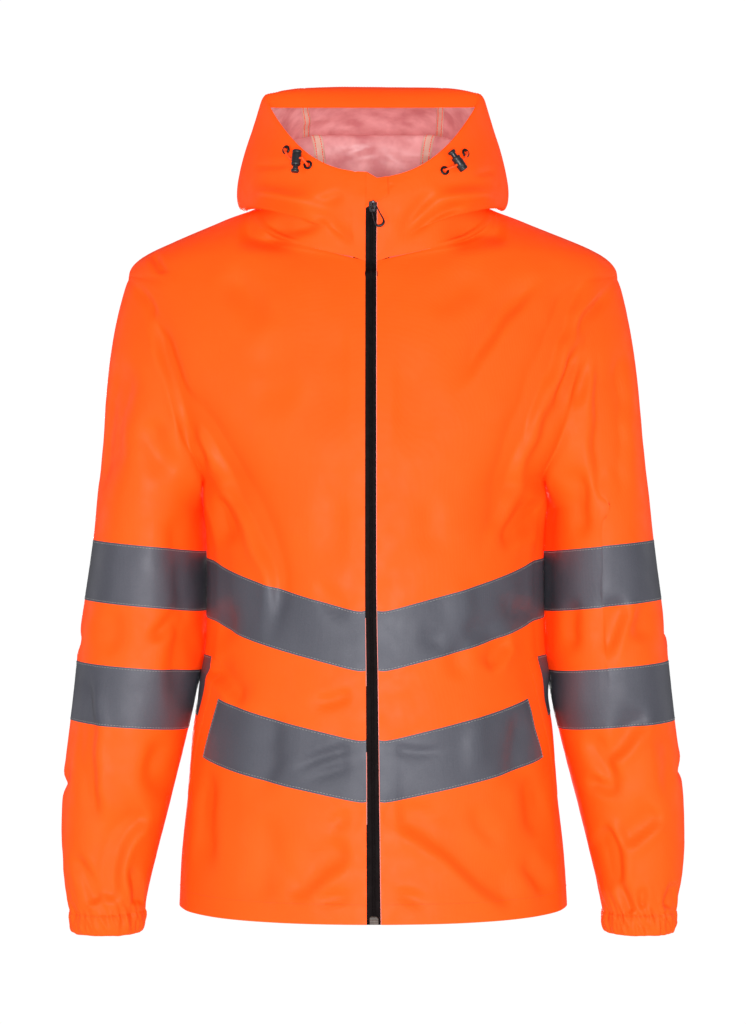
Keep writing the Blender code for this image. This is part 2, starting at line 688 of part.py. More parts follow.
# zip ---------------------------------------------------------------------
for g, n, tag, sign, hood_columns in (
        (FL, NFL, "left", -1, (0, 1)), (FR, NFR, "right", 1, (LAST_H, LAST_H - 1))):
    strip = [(HD[r, hood_columns[0]], HD[r, hood_columns[1]],
              NHD[r, hood_columns[0]], NHD[r, hood_columns[1]])
             for r in reversed(range(ZIP_TOP_RING + 1))]
    strip += [(g[r, 0], g[r, 1], n[r, 0], n[r, 1]) for r in range(ARM0 + 1, g.shape[0])]
    zg, zn = [], []
    for a, b, na, nb in strip:
        middle = a.copy()
        middle[0] = smooth(ZIP, "z", "middle", a[2]) + sign * 0.3
        na = unit(na * np.array([0, 1, 1]))
        zg.append([middle, a, b])
        zn.append([na, na, nb])
    wall("zip_tape_" + tag, np.array(zg), np.array(zn), block((0, len(zg) - 1), (0, 2)), "black",
         low=-CLOTH - LIFT - ZIP_TAPE, high=-CLOTH - LIFT, gap=0.0)

# the tab over the top of the zip, on both edges of the hood at the chin
tab_columns = [(0,), (LAST_H,), (LAST_H - 1,)]
tab = np.array([[HD[r, c[0]] for c in tab_columns] for r in range(ZIP_TOP_RING - 1, rings + 1)])
tab_n = np.array([[NHD[r, c[0]] for c in tab_columns] for r in range(ZIP_TOP_RING - 1, rings + 1)])
tab[-1, :, 2] = HD[rings, 0, 2]
tab[0, 1:, 2] += 8.0
tab[1, 1:, 2] += 4.0
wall("zip_garage", tab, tab_n, block((0, len(tab) - 1), (0, 2)), "shell",
     low=LIFT, high=LIFT + TAPE, gap=0.0)


def lathe(name, profile, mat, sides=16, base=(0, 0, 0), axis=(0, 0, 1)):
    """A turned solid. profile is (radius, height) from the bottom's axis to the top's."""
    z = Vector(axis).normalized()
    turn = z.to_track_quat("Z", "Y").to_matrix()
    verts, faces = [], []
    rows = []
    for radius, height in profile:
        if radius == 0:
            rows.append([len(verts)])
            verts.append(turn @ Vector((0, 0, height)))
        else:
            rows.append(list(range(len(verts), len(verts) + sides)))
            for k in range(sides):
                a = 2 * math.pi * k / sides
                verts.append(turn @ Vector((radius * math.cos(a), radius * math.sin(a), height)))
    for low, high in zip(rows, rows[1:]):
        for k in range(sides):
            j = (k + 1) % sides
            if len(low) == 1:
                faces.append([low[0], high[j], high[k]])
            elif len(high) == 1:
                faces.append([low[k], low[j], high[0]])
            else:
                faces.append([low[k], low[j], high[j], high[k]])
    base = np.array(base, float)
    return add(name, [base + np.array(v) for v in verts], faces, mat, origin=base)


def torus(name, centre, axis, big, small, mat, around=16, section=6):
    z = Vector(axis).normalized()
    turn = z.to_track_quat("Z", "Y").to_matrix()
    verts, faces = [], []
    for i in range(around):
        a = 2 * math.pi * i / around
        for j in range(section):
            b = 2 * math.pi * j / section
            r = big + small * math.cos(b)
            verts.append(np.array(centre) + np.array(
                turn @ Vector((r * math.cos(a), r * math.sin(a), small * math.sin(b)))))
    for i in range(around):
        for j in range(section):
            p, q = (i + 1) % around, (j + 1) % section
            faces.append([i * section + j, p * section + j, p * section + q, i * section + q])
    return add(name, verts, faces, mat, origin=centre)


def tube(name, points, radius, mat, closed=False, origin=(0, 0, 0), steps=3):
    """A smooth curve through the points as a round cord with filled ends."""
    pts = [np.array(p, float) for p in points]
    n = len(pts)
    fine = []
    spans = n if closed else n - 1
    for i in range(spans):
        if closed:
            a, b, c, d = (pts[(i + k) % n] for k in (-1, 0, 1, 2))
        else:
            a, b, c, d = pts[max(i - 1, 0)], pts[i], pts[i + 1], pts[min(i + 2, n - 1)]
        for s in range(steps):
            t = s / steps
            fine.append(0.5 * (2 * b + (c - a) * t + (2 * a - 5 * b + 4 * c - d) * t * t
                               + (3 * b - a - 3 * c + d) * t ** 3))
    if not closed:
        fine.append(pts[-1])
    curve = bpy.data.curves.new(name, "CURVE")
    curve.dimensions = "3D"
    curve.bevel_depth = radius * MM
    curve.bevel_resolution = 2
    curve.use_fill_caps = not closed
    spline = curve.splines.new("POLY")
    spline.points.add(len(fine) - 1)
    o = np.array(origin, float)
    for p, q in zip(spline.points, fine):
        p.co = (*((q - o) * MM), 1)
    spline.use_cyclic_u = closed
    obj = bpy.data.objects.new(name, curve)
    obj.location = Vector(o * MM)
    bpy.context.scene.collection.objects.link(obj)
    curve.materials.append(material(mat))
    return obj


def box(name, centre, size, mat):
    cx, cy, cz = centre
    hx, hy, hz = (s / 2 for s in size)
    verts = [(cx + i * hx, cy + j * hy, cz + k * hz)
             for i in (-1, 1) for j in (-1, 1) for k in (-1, 1)]
    faces = [(0, 1, 3, 2), (4, 6, 7, 5), (0, 4, 5, 1), (2, 3, 7, 6), (0, 2, 6, 4), (1, 5, 7, 3)]
    return add(name, verts, faces, mat, origin=centre)


def hood_at(x, z, reach=6.0):
    """Point and outward direction of the hood's front wall seen at x, z, and how far
    the wall stands out of that plane within reach."""
    near = []
    for r in range(1, rings):
        for c in list(range(0, 7)) + list(range(LAST_H - 7, LAST_H)):
            quad = [HD[r, c], HD[r + 1, c], HD[r + 1, c + 1], HD[r, c + 1]]
            n = unit(np.cross(quad[2] - quad[0], quad[3] - quad[1]))
            n = n if n[1] < 0 else -n
            for i in range(9):
                for j in range(9):
                    u, v = i / 8, j / 8
                    p = (quad[0] * (1 - u) * (1 - v) + quad[1] * u * (1 - v)
                         + quad[2] * u * v + quad[3] * (1 - u) * v)
                    if p[1] < -20:
                        near.append((math.hypot(p[0] - x, p[2] - z), p, n))
    point = min(near, key=lambda q: q[0])[1]
    close = [q for q in near if np.linalg.norm(q[1] - point) < reach]
    n = unit(sum(q[2] for q in close))
    return point, n, max(float(np.dot(q[1] - point, n)) for q in close)


# slider on the face of the zip under the tab; its bridge holds the puller's wire
SLIDER_Z = 7.0
ring_z = [HD[r, 0, 2] for r in range(rings + 1)]
face_y = float(np.interp(SLIDER_Z, ring_z, [HD[r, 0, 1] for r in range(rings + 1)]))
SLIDER_X = float(smooth(ZIP, "z", "middle", SLIDER_Z)) + 0.9
WIRE = 0.75
PIVOT = (SLIDER_X + 0.6, face_y - 2.85, SLIDER_Z + 2.2)
box("zip_slider", (SLIDER_X, face_y - 0.1, SLIDER_Z), (7.6, 3.0, 11.0), "black")
bridge = (
    ((PIVOT[0], face_y - 3.2, PIVOT[2] + 2.6), (1.6, 4.4, 1.4)),
    ((PIVOT[0], face_y - 3.2, PIVOT[2] - 4.0), (1.6, 4.4, 1.4)),
    ((PIVOT[0], face_y - 4.8, PIVOT[2] - 0.7), (1.6, 1.2, 8.0)),
)
for i, (centre, size) in enumerate(bridge):
    helper = box("bridge_%d" % i, centre, size, "black")
    helper.hide_render = True
    helper.display_type = "WIRE"
    mod = bpy.data.objects["zip_slider"].modifiers.new("bridge %d" % i, "BOOLEAN")
    mod.operation = "UNION"
    mod.solver = "EXACT"
    mod.object = helper

# puller: a teardrop of wire whose top runs under the bridge, hanging to the right
PULL_TURN = math.radians(14)
PULL = [(-1.7, 0.0), (1.7, 0.0), (2.7, -2.2), (4.6, -11.0), (6.0, -17.0), (4.6, -21.0),
        (0.8, -22.2), (-2.6, -20.0), (-3.0, -15.0), (-2.7, -8.0), (-2.7, -2.2)]
pull_line = []
for px, pz in PULL:
    share = min(1.0, abs(pz) / 3.0)
    tx = px * math.cos(PULL_TURN * share) - pz * math.sin(PULL_TURN * share)
    tz = px * math.sin(PULL_TURN * share) + pz * math.cos(PULL_TURN * share)
    pull_line.append((PIVOT[0] + tx, PIVOT[1], PIVOT[2] + tz))
tube("zip_puller", pull_line, WIRE, "black", closed=True, origin=PIVOT, steps=3)
# box and pin where the zip starts at the hem
hem_y = FL[-1, 0, 1]
box("zip_stop", (smooth(ZIP, "z", "middle", HEM_Z), hem_y - 0.2, HEM_Z + 4.2), (9.0, 2.6, 8.0),
    "stop")

# eyelets, cords and cord locks -------------------------------------------
Gear = namedtuple("Gear", "tag side outer inner lock_top lock_bottom knob_first")
GEAR = (
    Gear("left", -1, (-83.0, 64.0), (-62.5, 47.5), (-68.5, 62.0), (-69.5, 38.5), False),
    Gear("right", 1, (88.5, 62.5), (68.0, 42.5), (70.5, 60.5), (84.0, 40.0), True),
)
INTO = {}            # the way each plunger presses in
for gear in GEAR:
    spots = []
    for name, (x, z) in (("outer", gear.outer), ("inner", gear.inner)):
        p, n, proud = hood_at(x, z)
        thick = (EYELET_R - EYELET_HOLE) / 2
        torus("eyelet_%s_%s" % (name, gear.tag), p + n * (max(proud, 0.0) + LIFT + thick), n,
              (EYELET_R + EYELET_HOLE) / 2, thick, "black")
        spots.append((p + n * max(proud, 0.0), n))
    (p_out, n_out), (p_in, n_in) = spots
    top, bottom = hood_at(*gear.lock_top)[0], hood_at(*gear.lock_bottom)[0]
    n = unit(n_out + n_in)
    clear = LOCK_R + 4.5
    a = top + n * clear
    b = bottom + n * clear
    along = unit(b - a)
    if gear.knob_first:
        knob_end, barrel_end = a, b
        into = along
    else:
        knob_end, barrel_end = b, a
        into = -along
    INTO[gear.tag] = into
    mouth = knob_end + into * (KNOB_L + 1.2)      # the barrel starts where the neck ends
    lathe("lock_barrel_" + gear.tag,
          ((0, LOCK_L), (LOCK_R * 0.82, LOCK_L), (LOCK_R, LOCK_L - 0.9), (LOCK_R, 0.9),
           (LOCK_R * 0.86, 0.0), (LOCK_BORE, 0.0), (LOCK_BORE, LOCK_L - 1.5),
           (0, LOCK_L - 1.5))[::-1], "black", base=mouth, axis=into)
    rod_in = LOCK_L - 1.5 - PRESS - 0.5
    lathe("lock_plunger_" + gear.tag,
          ((0, -KNOB_L - 1.2), (KNOB_R * 0.72, -KNOB_L - 1.2),
           (KNOB_R, -KNOB_L - 0.2), (KNOB_R, -PRESS - 1.0), (KNOB_R * 0.8, -PRESS - 0.4),
           (ROD_R, -PRESS - 0.4), (ROD_R, rod_in), (0, rod_in)), "black",
          base=mouth, axis=into)
    hole = mouth + into * (LOCK_L * 0.46)
    sideways = unit(np.cross(into, n))
    if np.dot(sideways, p_out - p_in) < 0:
        sideways = -sideways
    cutter = lathe("hole_" + gear.tag,
                   ((0, -12), (CORD_R + 0.6, -12), (CORD_R + 0.6, 12), (0, 12)), "black",
                   sides=12, base=hole, axis=sideways)
    cutter.hide_render = True
    cutter.display_type = "WIRE"
    slot = box("slot_" + gear.tag, (0, 0, 0), (24, 3.6, 3.6 + PRESS * 2), "black")
    frame = np.array([sideways, np.cross(into, sideways), into]).T
    for v in slot.data.vertices:
        v.co = Vector(frame @ np.array(v.co))
    slot.location = Vector(hole * MM)
    slot.hide_render = True
    slot.display_type = "WIRE"
    for target, tool in (("lock_barrel_", cutter), ("lock_plunger_", slot)):
        mod = bpy.data.objects[target + gear.tag].modifiers.new("cord hole", "BOOLEAN")
        mod.operation = "DIFFERENCE"
        mod.solver = "EXACT"
        mod.object = tool
    start = p_out + n_out * 0.6
    end = p_in + n_in * 0.6
    reach = LOCK_R + 2.0
    tube("cord_" + gear.tag, [
        start, start + n_out * 3.2, (start + n_out * 5.5 + hole + sideways * reach) / 2 + n * 0.8,
        hole + sideways * reach, hole + sideways * LOCK_R, hole - sideways * LOCK_R,
        hole - sideways * reach,
        (end + n_in * 5.0 + hole - sideways * reach) / 2 + n * 0.4,
        end + n_in * 3.2, end], CORD_R, "cord")

# hanger loop at the back of the neck, inside the hood
LOOP_X, LOOP_Y, LOOP_TOP, LOOP_FOOT = 27.0, 55.0, 56.0, 8.0
loop_line = [(LOOP_X - 5, LOOP_FOOT), (LOOP_X - 5.5, 30), (LOOP_X - 4, 50), (LOOP_X, LOOP_TOP),
             (LOOP_X + 4, 50), (LOOP_X + 5.5, 30), (LOOP_X + 5, LOOP_FOOT)]
verts, faces = [], []
count = len(loop_line)
for i, (x, z) in enumerate(loop_line):
    before, after = loop_line[max(i - 1, 0)], loop_line[min(i + 1, count - 1)]
    d = unit(np.array([after[0] - before[0], after[1] - before[1]]))
    nx, nz = -d[1], d[0]
    for o, dy in ((0.6, -3.5), (0.6, 3.5), (-0.6, 3.5), (-0.6, -3.5)):
        verts.append((x + nx * o, LOOP_Y + dy, z + nz * o))
for i in range(count - 1):
    for j in range(4):
        k = (j + 1) % 4
        faces.append([i * 4 + j, i * 4 + k, (i + 1) * 4 + k, (i + 1) * 4 + j])
faces.append([3, 2, 1, 0])
faces.append([(count - 1) * 4 + j for j in range(4)])
add("hanger_loop", verts, faces, "loop")

for obj in bpy.data.objects:
    if obj.type == "MESH" and not obj.hide_render:
        obj.data.shade_smooth()
        obj.data.set_sharp_from_angle(angle=math.radians(40))
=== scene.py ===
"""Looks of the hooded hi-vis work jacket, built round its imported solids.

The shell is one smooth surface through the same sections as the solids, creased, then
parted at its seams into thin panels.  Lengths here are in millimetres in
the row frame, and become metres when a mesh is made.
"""

import json
import math
from collections import namedtuple

import bpy
import numpy as np
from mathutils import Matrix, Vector, bvhtree, kdtree


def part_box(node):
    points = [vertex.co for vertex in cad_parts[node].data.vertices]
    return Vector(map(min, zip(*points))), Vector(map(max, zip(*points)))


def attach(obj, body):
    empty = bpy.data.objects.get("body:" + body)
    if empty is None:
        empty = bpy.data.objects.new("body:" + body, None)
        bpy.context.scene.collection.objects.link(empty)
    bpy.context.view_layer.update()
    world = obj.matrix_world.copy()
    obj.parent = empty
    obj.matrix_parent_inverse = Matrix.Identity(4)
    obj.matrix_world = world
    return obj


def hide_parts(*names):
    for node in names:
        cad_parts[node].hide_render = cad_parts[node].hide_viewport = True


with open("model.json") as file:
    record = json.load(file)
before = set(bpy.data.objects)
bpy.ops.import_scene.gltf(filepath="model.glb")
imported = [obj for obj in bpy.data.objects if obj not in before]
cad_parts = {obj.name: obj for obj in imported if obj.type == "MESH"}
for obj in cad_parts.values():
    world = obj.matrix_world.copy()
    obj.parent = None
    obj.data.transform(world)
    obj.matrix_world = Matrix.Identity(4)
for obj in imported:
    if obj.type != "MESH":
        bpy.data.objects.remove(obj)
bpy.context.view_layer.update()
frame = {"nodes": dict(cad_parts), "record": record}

MM = 0.001
JACKET = "jacket"
for start_up in ("Cube", "Light", "Camera"):
    if start_up in bpy.data.objects and start_up not in frame["nodes"]:
        bpy.data.objects.remove(bpy.data.objects[start_up], do_unlink=True)

# ------------------------------------------------------------------ camera
EYE = np.array([0.0, -2700.0, -287.0])
scene = bpy.context.scene
cam_data = bpy.data.cameras.new("camera")
cam_data.sensor_fit = "AUTO"
cam_data.sensor_width = 36.0
cam_data.lens = 94.9
cam_data.clip_end = 60.0
camera = bpy.data.objects.new("camera", cam_data)
camera.location = Vector(EYE * MM)
camera.rotation_euler = (math.pi / 2, 0, 0)
scene.collection.objects.link(camera)
scene.camera = camera

# ------------------------------------------------------------------ tables
AXIS_Y = 4.0
ROUND = 0.87
NECK_SIDE_Z, NECK_FRONT_Z, NECK_BACK_Z = 19.6, -45.0, 0.0
SHOULDER_TIP_Z, ARMPIT_Z, HEM_Z = -53.0, -258.0, -677.0
ZIP_EDGE = 11.0

Body = namedtuple("Body", "z half_width front back")
BODY = (
    Body(19.6, 105.0, 60, 62),
    Body(5.0, 144.0, 74, 70),
    Body(-7.0, 172.5, 83, 78),
    Body(-19.0, 202.0, 90, 86),
    Body(-31.0, 228.0, 96, 93),
    Body(-45.0, 241.0, 102, 100),
    Body(-65.0, 247.0, 110, 109),
    Body(-100.0, 246.0, 121, 119),
    Body(-154.0, 236.0, 132, 127),
    Body(-200.0, 216.0, 139, 129),
    Body(-235.0, 190.0, 142, 129),
    Body(-258.0, 171.0, 143, 128),
    Body(-300.0, 165.0, 145, 125),
    Body(-350.0, 162.5, 146, 121),
    Body(-425.0, 165.0, 147, 121),
    Body(-470.0, 174.5, 149, 124),
    Body(-515.0, 180.5, 150, 128),
    Body(-575.0, 184.5, 152, 133),
    Body(-635.0, 191.5, 154, 138),
    Body(-677.0, 193.5, 155, 140),
)
Zip = namedtuple("Zip", "z middle half_gap")
ZIP = (
    Zip(45.0, -1.0, 5.2),
    Zip(-45.0, -1.8, 4.8),
    Zip(-350.0, -2.0, 4.9),
    Zip(-450.0, -0.8, 5.2),
    Zip(-677.0, 1.0, 6.2),
)
Arm = namedtuple("Arm", "turn front_angle back_angle")
ARMHOLE = (
    Arm(0.0, 84.0, 84.0),
    Arm(22.5, 71.5, 100.0),
    Arm(45.0, 63.5, 112.0),
    Arm(67.5, 57.5, 120.0),
    Arm(90.0, 55.5, 124.0),
    Arm(112.5, 56.0, 124.0),
    Arm(135.0, 61.5, 118.0),
    Arm(157.5, 73.0, 106.0),
    Arm(180.0, 90.0, 90.0),
)
Side = namedtuple("Side", "z angle")
SIDE = (
    Side(-258.0, 84.0),
    Side(-290.0, 74.5),
    Side(-325.0, 70.0),
    Side(-428.0, 70.0),
    Side(-488.0, 76.5),
    Side(-566.0, 87.0),
    Side(-677.0, 88.0),
)
Front = namedtuple("Front", "inner outer")
FRONT_NECK = (Front(80.0, 19.6), Front(60.0, 8.0), Front(42.0, -6.0), Front(26.0, -20.0),
              Front(12.0, -36.0))
FRONT_ARM = (
    Front(-45.0, 180.0), Front(-68.0, 157.5), Front(-96.0, 135.0), Front(-128.0, 112.5),
    Front(-164.0, 90.0), Front(-202.0, 67.5), Front(-238.0, 45.0), Front(-268.0, 22.5),
    Front(-296.0, 0.0),
)
FRONT_SIDE = (
    Front(-335.0, -290.0), Front(-380.0, -334.0), Front(-438.0, -394.0),
    Front(-470.0, -428.0), Front(-503.0, -459.0), Front(-532.0, -488.0),
    Front(-561.0, -517.0), Front(-605.0, -566.0), Front(-640.0, -622.0),
    Front(HEM_Z, HEM_Z),
)
BACK_CENTRE = (
    -12.0, -24.0, -38.0, -54.0,
    -72.0, -88.0, -106.0, -130.0, -162.0, -196.0, -228.0, -250.0, -262.0,
    -288.0, -318.0, -378.0, -425.0, -455.0, -485.0, -517.0, -566.0, -622.0, HEM_Z,
)
FRONT_SHARE = (0.0, 0.15, 0.30, 0.45, 0.59, 0.72, 0.80, 0.895, 1.0)
BACK_SHARE = (0.0, 0.14, 0.28, 0.42, 0.56, 0.70, 0.84, 1.0)
Sleeve = namedtuple("Sleeve", "z outer inner front back tilt")
SLEEVE = (
    Sleeve(-278.0, 275.0, 171.5, -70, 74, 12.0),
    Sleeve(-319.5, 280.0, 169.5, -69, 72, 5.5),
    Sleeve(-380.0, 288.0, 169.5, -68, 69, 6.0),
    Sleeve(-410.0, 292.5, 169.5, -68, 67, 5.5),
    Sleeve(-438.5, 295.0, 172.0, -68, 65, 5.0),
    Sleeve(-498.5, 301.5, 185.5, -67, 58, 4.5),
    Sleeve(-530.0, 305.5, 193.0, -66, 53, 4.0),
    Sleeve(-560.0, 308.5, 200.0, -64, 48, 3.0),
    Sleeve(-590.0, 310.0, 207.0, -61, 43, 2.0),
    Sleeve(-620.0, 310.0, 214.0, -58, 38, 1.0),
    Sleeve(-648.0, 307.5, 220.5, -55, 33, 0.5),
    Sleeve(-668.0, 304.5, 225.0, -52, 29, 0.0),
    Sleeve(-682.5, 301.5, 228.0, -50, 26, 0.0),
)
CUFF_END = Sleeve(-704.0, 299.5, 230.0, -48, 24, 0.0)
SLEEVE_TOP_RINGS = 5
Hood = namedtuple(
    "Hood", "name side_x side_y side_z front_y front_z back_y back_z spread column arch")
HOOD = (
    Hood("stand", 113.0, 6, 23.0, -100, -34, 74, 20, 0.00, 0.00, 1.0),
    Hood("overhang", 124.0, 6, 15.5, -101, -24, 71, 48, 0.05, 0.00, 1.0),
    Hood("sill", 131.5, 5, 14.5, -102, -14, 62, 80, 0.08, 0.00, 1.0),
    Hood("roll", 135.5, 4, 23.0, -102, -4, 70, 101, 0.12, 0.05, 1.0),
    Hood("roll back", 136.0, 3, 37.0, -102, 6, 98, 82, 0.20, 0.15, 1.0),
    Hood("pouch", 133.5, 1, 54.0, -102, 14, 124, 44, 0.35, 0.30, 1.0),
    Hood("pouch back", 129.0, -3, 73.0, -101, 21, 150, 62, 0.50, 0.45, 1.0),
    Hood("crown back", 122.5, -10, 92.0, -100, 27, 138, 104, 0.68, 0.62, 0.8),
    Hood("crown", 116.0, -20, 109.0, -99, 32, 76, 131, 0.84, 0.80, 0.5),
    Hood("crest", 109.0, -34, 124.0, -98, 37, -20, 137.5, 0.96, 0.95, 0.3),
    Hood("edge", 101.5, -44, 111.0, -97, 41, -42, 111.0, 1.00, 1.00, 1.0),
)
Column = namedtuple("Column", "neck edge")
HOOD_COLUMN = (
    Column(12.0, 14.0), Column(26.0, 28.0), Column(42.0, 43.0), Column(60.0, 58.0),
    Column(80.0, 74.0), Column(90.0, 90.0), Column(103.0, 97.0),
    Column(116.0, 103.0), Column(129.0, 109.0), Column(143.0, 115.0),
    Column(158.0, 121.0), Column(169.0, 150.0), Column(180.0, 180.0),
)
HOOD_CORNER, HOOD_SEAM, CHIN_STEP = 7, 12, -6.0


# ------------------------------------------------------------------ sections
def smooth(rows, key, column, at):
    """Monotone cubic through a table's column, against its key column."""
    pts = sorted((getattr(r, key), getattr(r, column)) for r in rows)
    xs = [float(p[0]) for p in pts]
    ys = [float(p[1]) for p in pts]
    n = len(xs)
    h = [xs[i + 1] - xs[i] for i in range(n - 1)]
    d = [(ys[i + 1] - ys[i]) / h[i] for i in range(n - 1)]
    at = min(max(at, xs[0]), xs[-1])
    i = 0
    while i < n - 2 and at >= xs[i + 1]:
        i += 1

    def slope(k):
        if k == 0:
            return d[0]
        if k == n - 1:
            return d[-1]
        if d[k - 1] * d[k] <= 0:
            return 0.0
        w1, w2 = 2 * h[k] + h[k - 1], h[k] + 2 * h[k - 1]
        return (w1 + w2) / (w1 / d[k - 1] + w2 / d[k])
    t = (at - xs[i]) / h[i]
    return (ys[i] * (1 + 2 * t) * (1 - t) ** 2 + slope(i) * h[i] * t * (1 - t) ** 2
            + ys[i + 1] * t * t * (3 - 2 * t) + slope(i + 1) * h[i] * t * t * (t - 1))


def power(value, exponent):
    return math.copysign(abs(value) ** exponent, value)


def unit(v):
    n = np.linalg.norm(v)
    return v / n if n > 1e-9 else v


def units(v):
    return v / np.maximum(np.linalg.norm(v, axis=-1, keepdims=True), 1e-9)


def body(side, angle, z):
    s, c = math.sin(math.radians(angle)), math.cos(math.radians(angle))
    x = smooth(BODY, "z", "half_width", z) * power(s, ROUND) * side
    depth = smooth(BODY, "z", "front" if c > 0 else "back", z)
    return np.array([x, AXIS_Y - depth * power(c, ROUND), z])


def neck_z(angle):
    middle = NECK_FRONT_Z if angle < 90 else NECK_BACK_Z
    return middle + (NECK_SIDE_Z - middle) * math.sin(math.radians(angle))


def arm_z(turn):
    mid, half = (SHOULDER_TIP_Z + ARMPIT_Z) / 2, (SHOULDER_TIP_Z - ARMPIT_Z) / 2
    return mid - half * math.cos(math.radians(turn))


def zip_x(side, z, extra=0.0):
    return smooth(ZIP, "z", "middle", z) + side * (smooth(ZIP, "z", "half_gap", z) + extra)


def angle_at_x(side, x, z):
    share = min(max(side * x / smooth(BODY, "z", "half_width", z), 0.0), 1.0)
    return math.degrees(math.asin(share ** (1 / ROUND)))


def spaced(side, start, end, shares):
    n = 48
    line = np.array([
        body(side, start[0] + (end[0] - start[0]) * i / n,
             start[1] + (end[1] - start[1]) * i / n) for i in range(n + 1)])
    arc = np.concatenate([[0], np.cumsum(np.linalg.norm(np.diff(line, axis=0), axis=1))])
    out = []
    for share in shares:
        t = float(np.interp(share * arc[-1], arc, np.linspace(0, 1, n + 1)))
        z = start[1] + (end[1] - start[1]) * share
        out.append(body(side, start[0] + (end[0] - start[0]) * t, z))
    return np.array(out)


def front_grid(side):
    """Rows from the one under the shoulder's neck point down to the hem."""
    rows = []
    for r in FRONT_NECK[1:]:
        rows.append(spaced(side, (r.inner, neck_z(r.inner)), (90.0, r.outer),
                           [0.0] + [0.10 + 0.90 * q for q in FRONT_SHARE]))
    for r in FRONT_ARM + FRONT_SIDE:
        z0 = r.inner
        if r in FRONT_ARM:
            end = (smooth(ARMHOLE, "turn", "front_angle", r.outer), arm_z(r.outer))
        else:
            end = (smooth(SIDE, "z", "angle", r.outer), r.outer)
        edge = (angle_at_x(side, zip_x(side, z0), z0), z0)
        strip = (angle_at_x(side, zip_x(side, z0, ZIP_EDGE), z0), z0)
        first_point = body(side, *edge)
        first_point[0] = zip_x(side, z0)
        rows.append(np.array([first_point] + list(spaced(side, strip, end, FRONT_SHARE))))
    return np.array(rows)


def back_grid():
    outer = [(90.0, r.outer) for r in FRONT_NECK[1:]]
    outer += [(smooth(ARMHOLE, "turn", "back_angle", r.outer), arm_z(r.outer))
              for r in FRONT_ARM]
    outer += [(smooth(SIDE, "z", "angle", r.outer), r.outer) for r in FRONT_SIDE]
    necks = [c.neck for c in HOOD_COLUMN if c.neck >= 90.0]
    grid = [[body(-1, a, neck_z(a)) for a in necks]
            + [body(1, a, neck_z(a)) for a in reversed(necks[:-1])]]
    for centre, end in zip(BACK_CENTRE, outer):
        left = list(spaced(-1, (180.0, centre), end, BACK_SHARE))
        right = list(spaced(1, (180.0, centre), end, BACK_SHARE))
        grid.append(left[::-1] + right[1:])
    return np.array(grid)


def arm_loop(side):
    loop = [body(side, r.front_angle, arm_z(r.turn)) for r in ARMHOLE]
    loop += [body(side, r.back_angle, arm_z(r.turn)) for r in reversed(ARMHOLE[1:-1])]
    return np.array(loop)


def ring(row, side, turn):
    c, s = math.cos(math.radians(turn)), math.sin(math.radians(turn))
    middle, half = (row.outer + row.inner) / 2, (row.outer - row.inner) / 2
    y_mid, y_half = (row.front + row.back) / 2, (row.back - row.front) / 2
    return np.array([side * (middle - half * power(c, 0.93)), y_mid - y_half * power(s, 0.93),
                     row.z - row.tilt * c])


def sleeve_grid(side):
    turns = [22.5 * k for k in range(16)]
    start = arm_loop(side)
    first = np.array([ring(SLEEVE[0], side, t) for t in turns])
    grid = [start]
    for step in range(1, SLEEVE_TOP_RINGS):
        u = step / SLEEVE_TOP_RINGS
        row = []
        for k, turn in enumerate(turns):
            c, s = math.cos(math.radians(turn)), math.sin(math.radians(turn))
            length = np.linalg.norm(first[k] - start[k])
            out = 0.5 * (1 - c)
            t0 = unit(np.array([side * (0.34 * out + 0.30 * abs(s)), 0.10 * s, -1.0])) * length
            t1 = unit(np.array([side * 0.15 * out, 0.0, -1.0])) * length
            row.append((2 * u ** 3 - 3 * u * u + 1) * start[k] + (u ** 3 - 2 * u * u + u) * t0
                       + (3 * u * u - 2 * u ** 3) * first[k] + (u ** 3 - u * u) * t1)
        grid.append(np.array(row))
    for row in SLEEVE:
        grid.append(np.array([ring(row, side, t) for t in turns]))
    return np.array(grid)


def hood_point(side, row, column):
    angle = column.neck + (column.edge - column.neck) * row.column
    s, c = math.sin(math.radians(angle)), math.cos(math.radians(angle))
    w = row.spread
    if angle <= 90:
        across = (1 - w) * power(s, ROUND) + w * angle / 90
        x = row.side_x * across
        lift = (1 - w) * s + w * (angle / 90) ** 2.7
        back = (1 - w) * (1 - power(c, ROUND)) + w * (angle / 90) ** 3.3
        y = row.front_y + (row.side_y - row.front_y) * back
        low = row.front_z + (CHIN_STEP * w ** 2 if side > 0 else 0.0) * max(0.0, 1 - angle / 60)
        z = low + (row.side_z - low) * lift
    else:
        across = (1 - w) * power(s, ROUND) + w * (180 - angle) / 90
        x = row.side_x * across
        inward = 1 - s ** 5
        y = row.side_y + (row.back_y - row.side_y) * (0.6 * inward + 0.4 * power(-c, ROUND))
        z = row.side_z + (row.back_z - row.side_z) * inward ** row.arch
    return np.array([side * x, y, z])


def hood_grid():
    def half(side):
        rows = []
        z0 = NECK_FRONT_Z
        edge = np.array([zip_x(side, z0), 0, z0])
        edge[1] = body(side, angle_at_x(side, edge[0], z0), z0)[1]
        neck = [body(side, c.neck, neck_z(c.neck)) for c in HOOD_COLUMN]
        strip = edge + (neck[0] - edge) * (ZIP_EDGE / abs(neck[0][0] - edge[0]))
        rows.append([edge, strip] + neck)
        for r in HOOD:
            line = [hood_point(side, r, c) for c in HOOD_COLUMN]
            z = r.front_z + (CHIN_STEP * r.spread ** 2 if side > 0 else 0.0)
            e = np.array([zip_x(side, z), r.front_y, z])
            st = e + (line[0] - e) * (ZIP_EDGE / abs(line[0][0] - e[0]))
            rows.append([e, st] + line)
        return rows
    left, right = half(-1), half(1)
    return np.array([a + b[::-1][1:] for a, b in zip(left, right)])


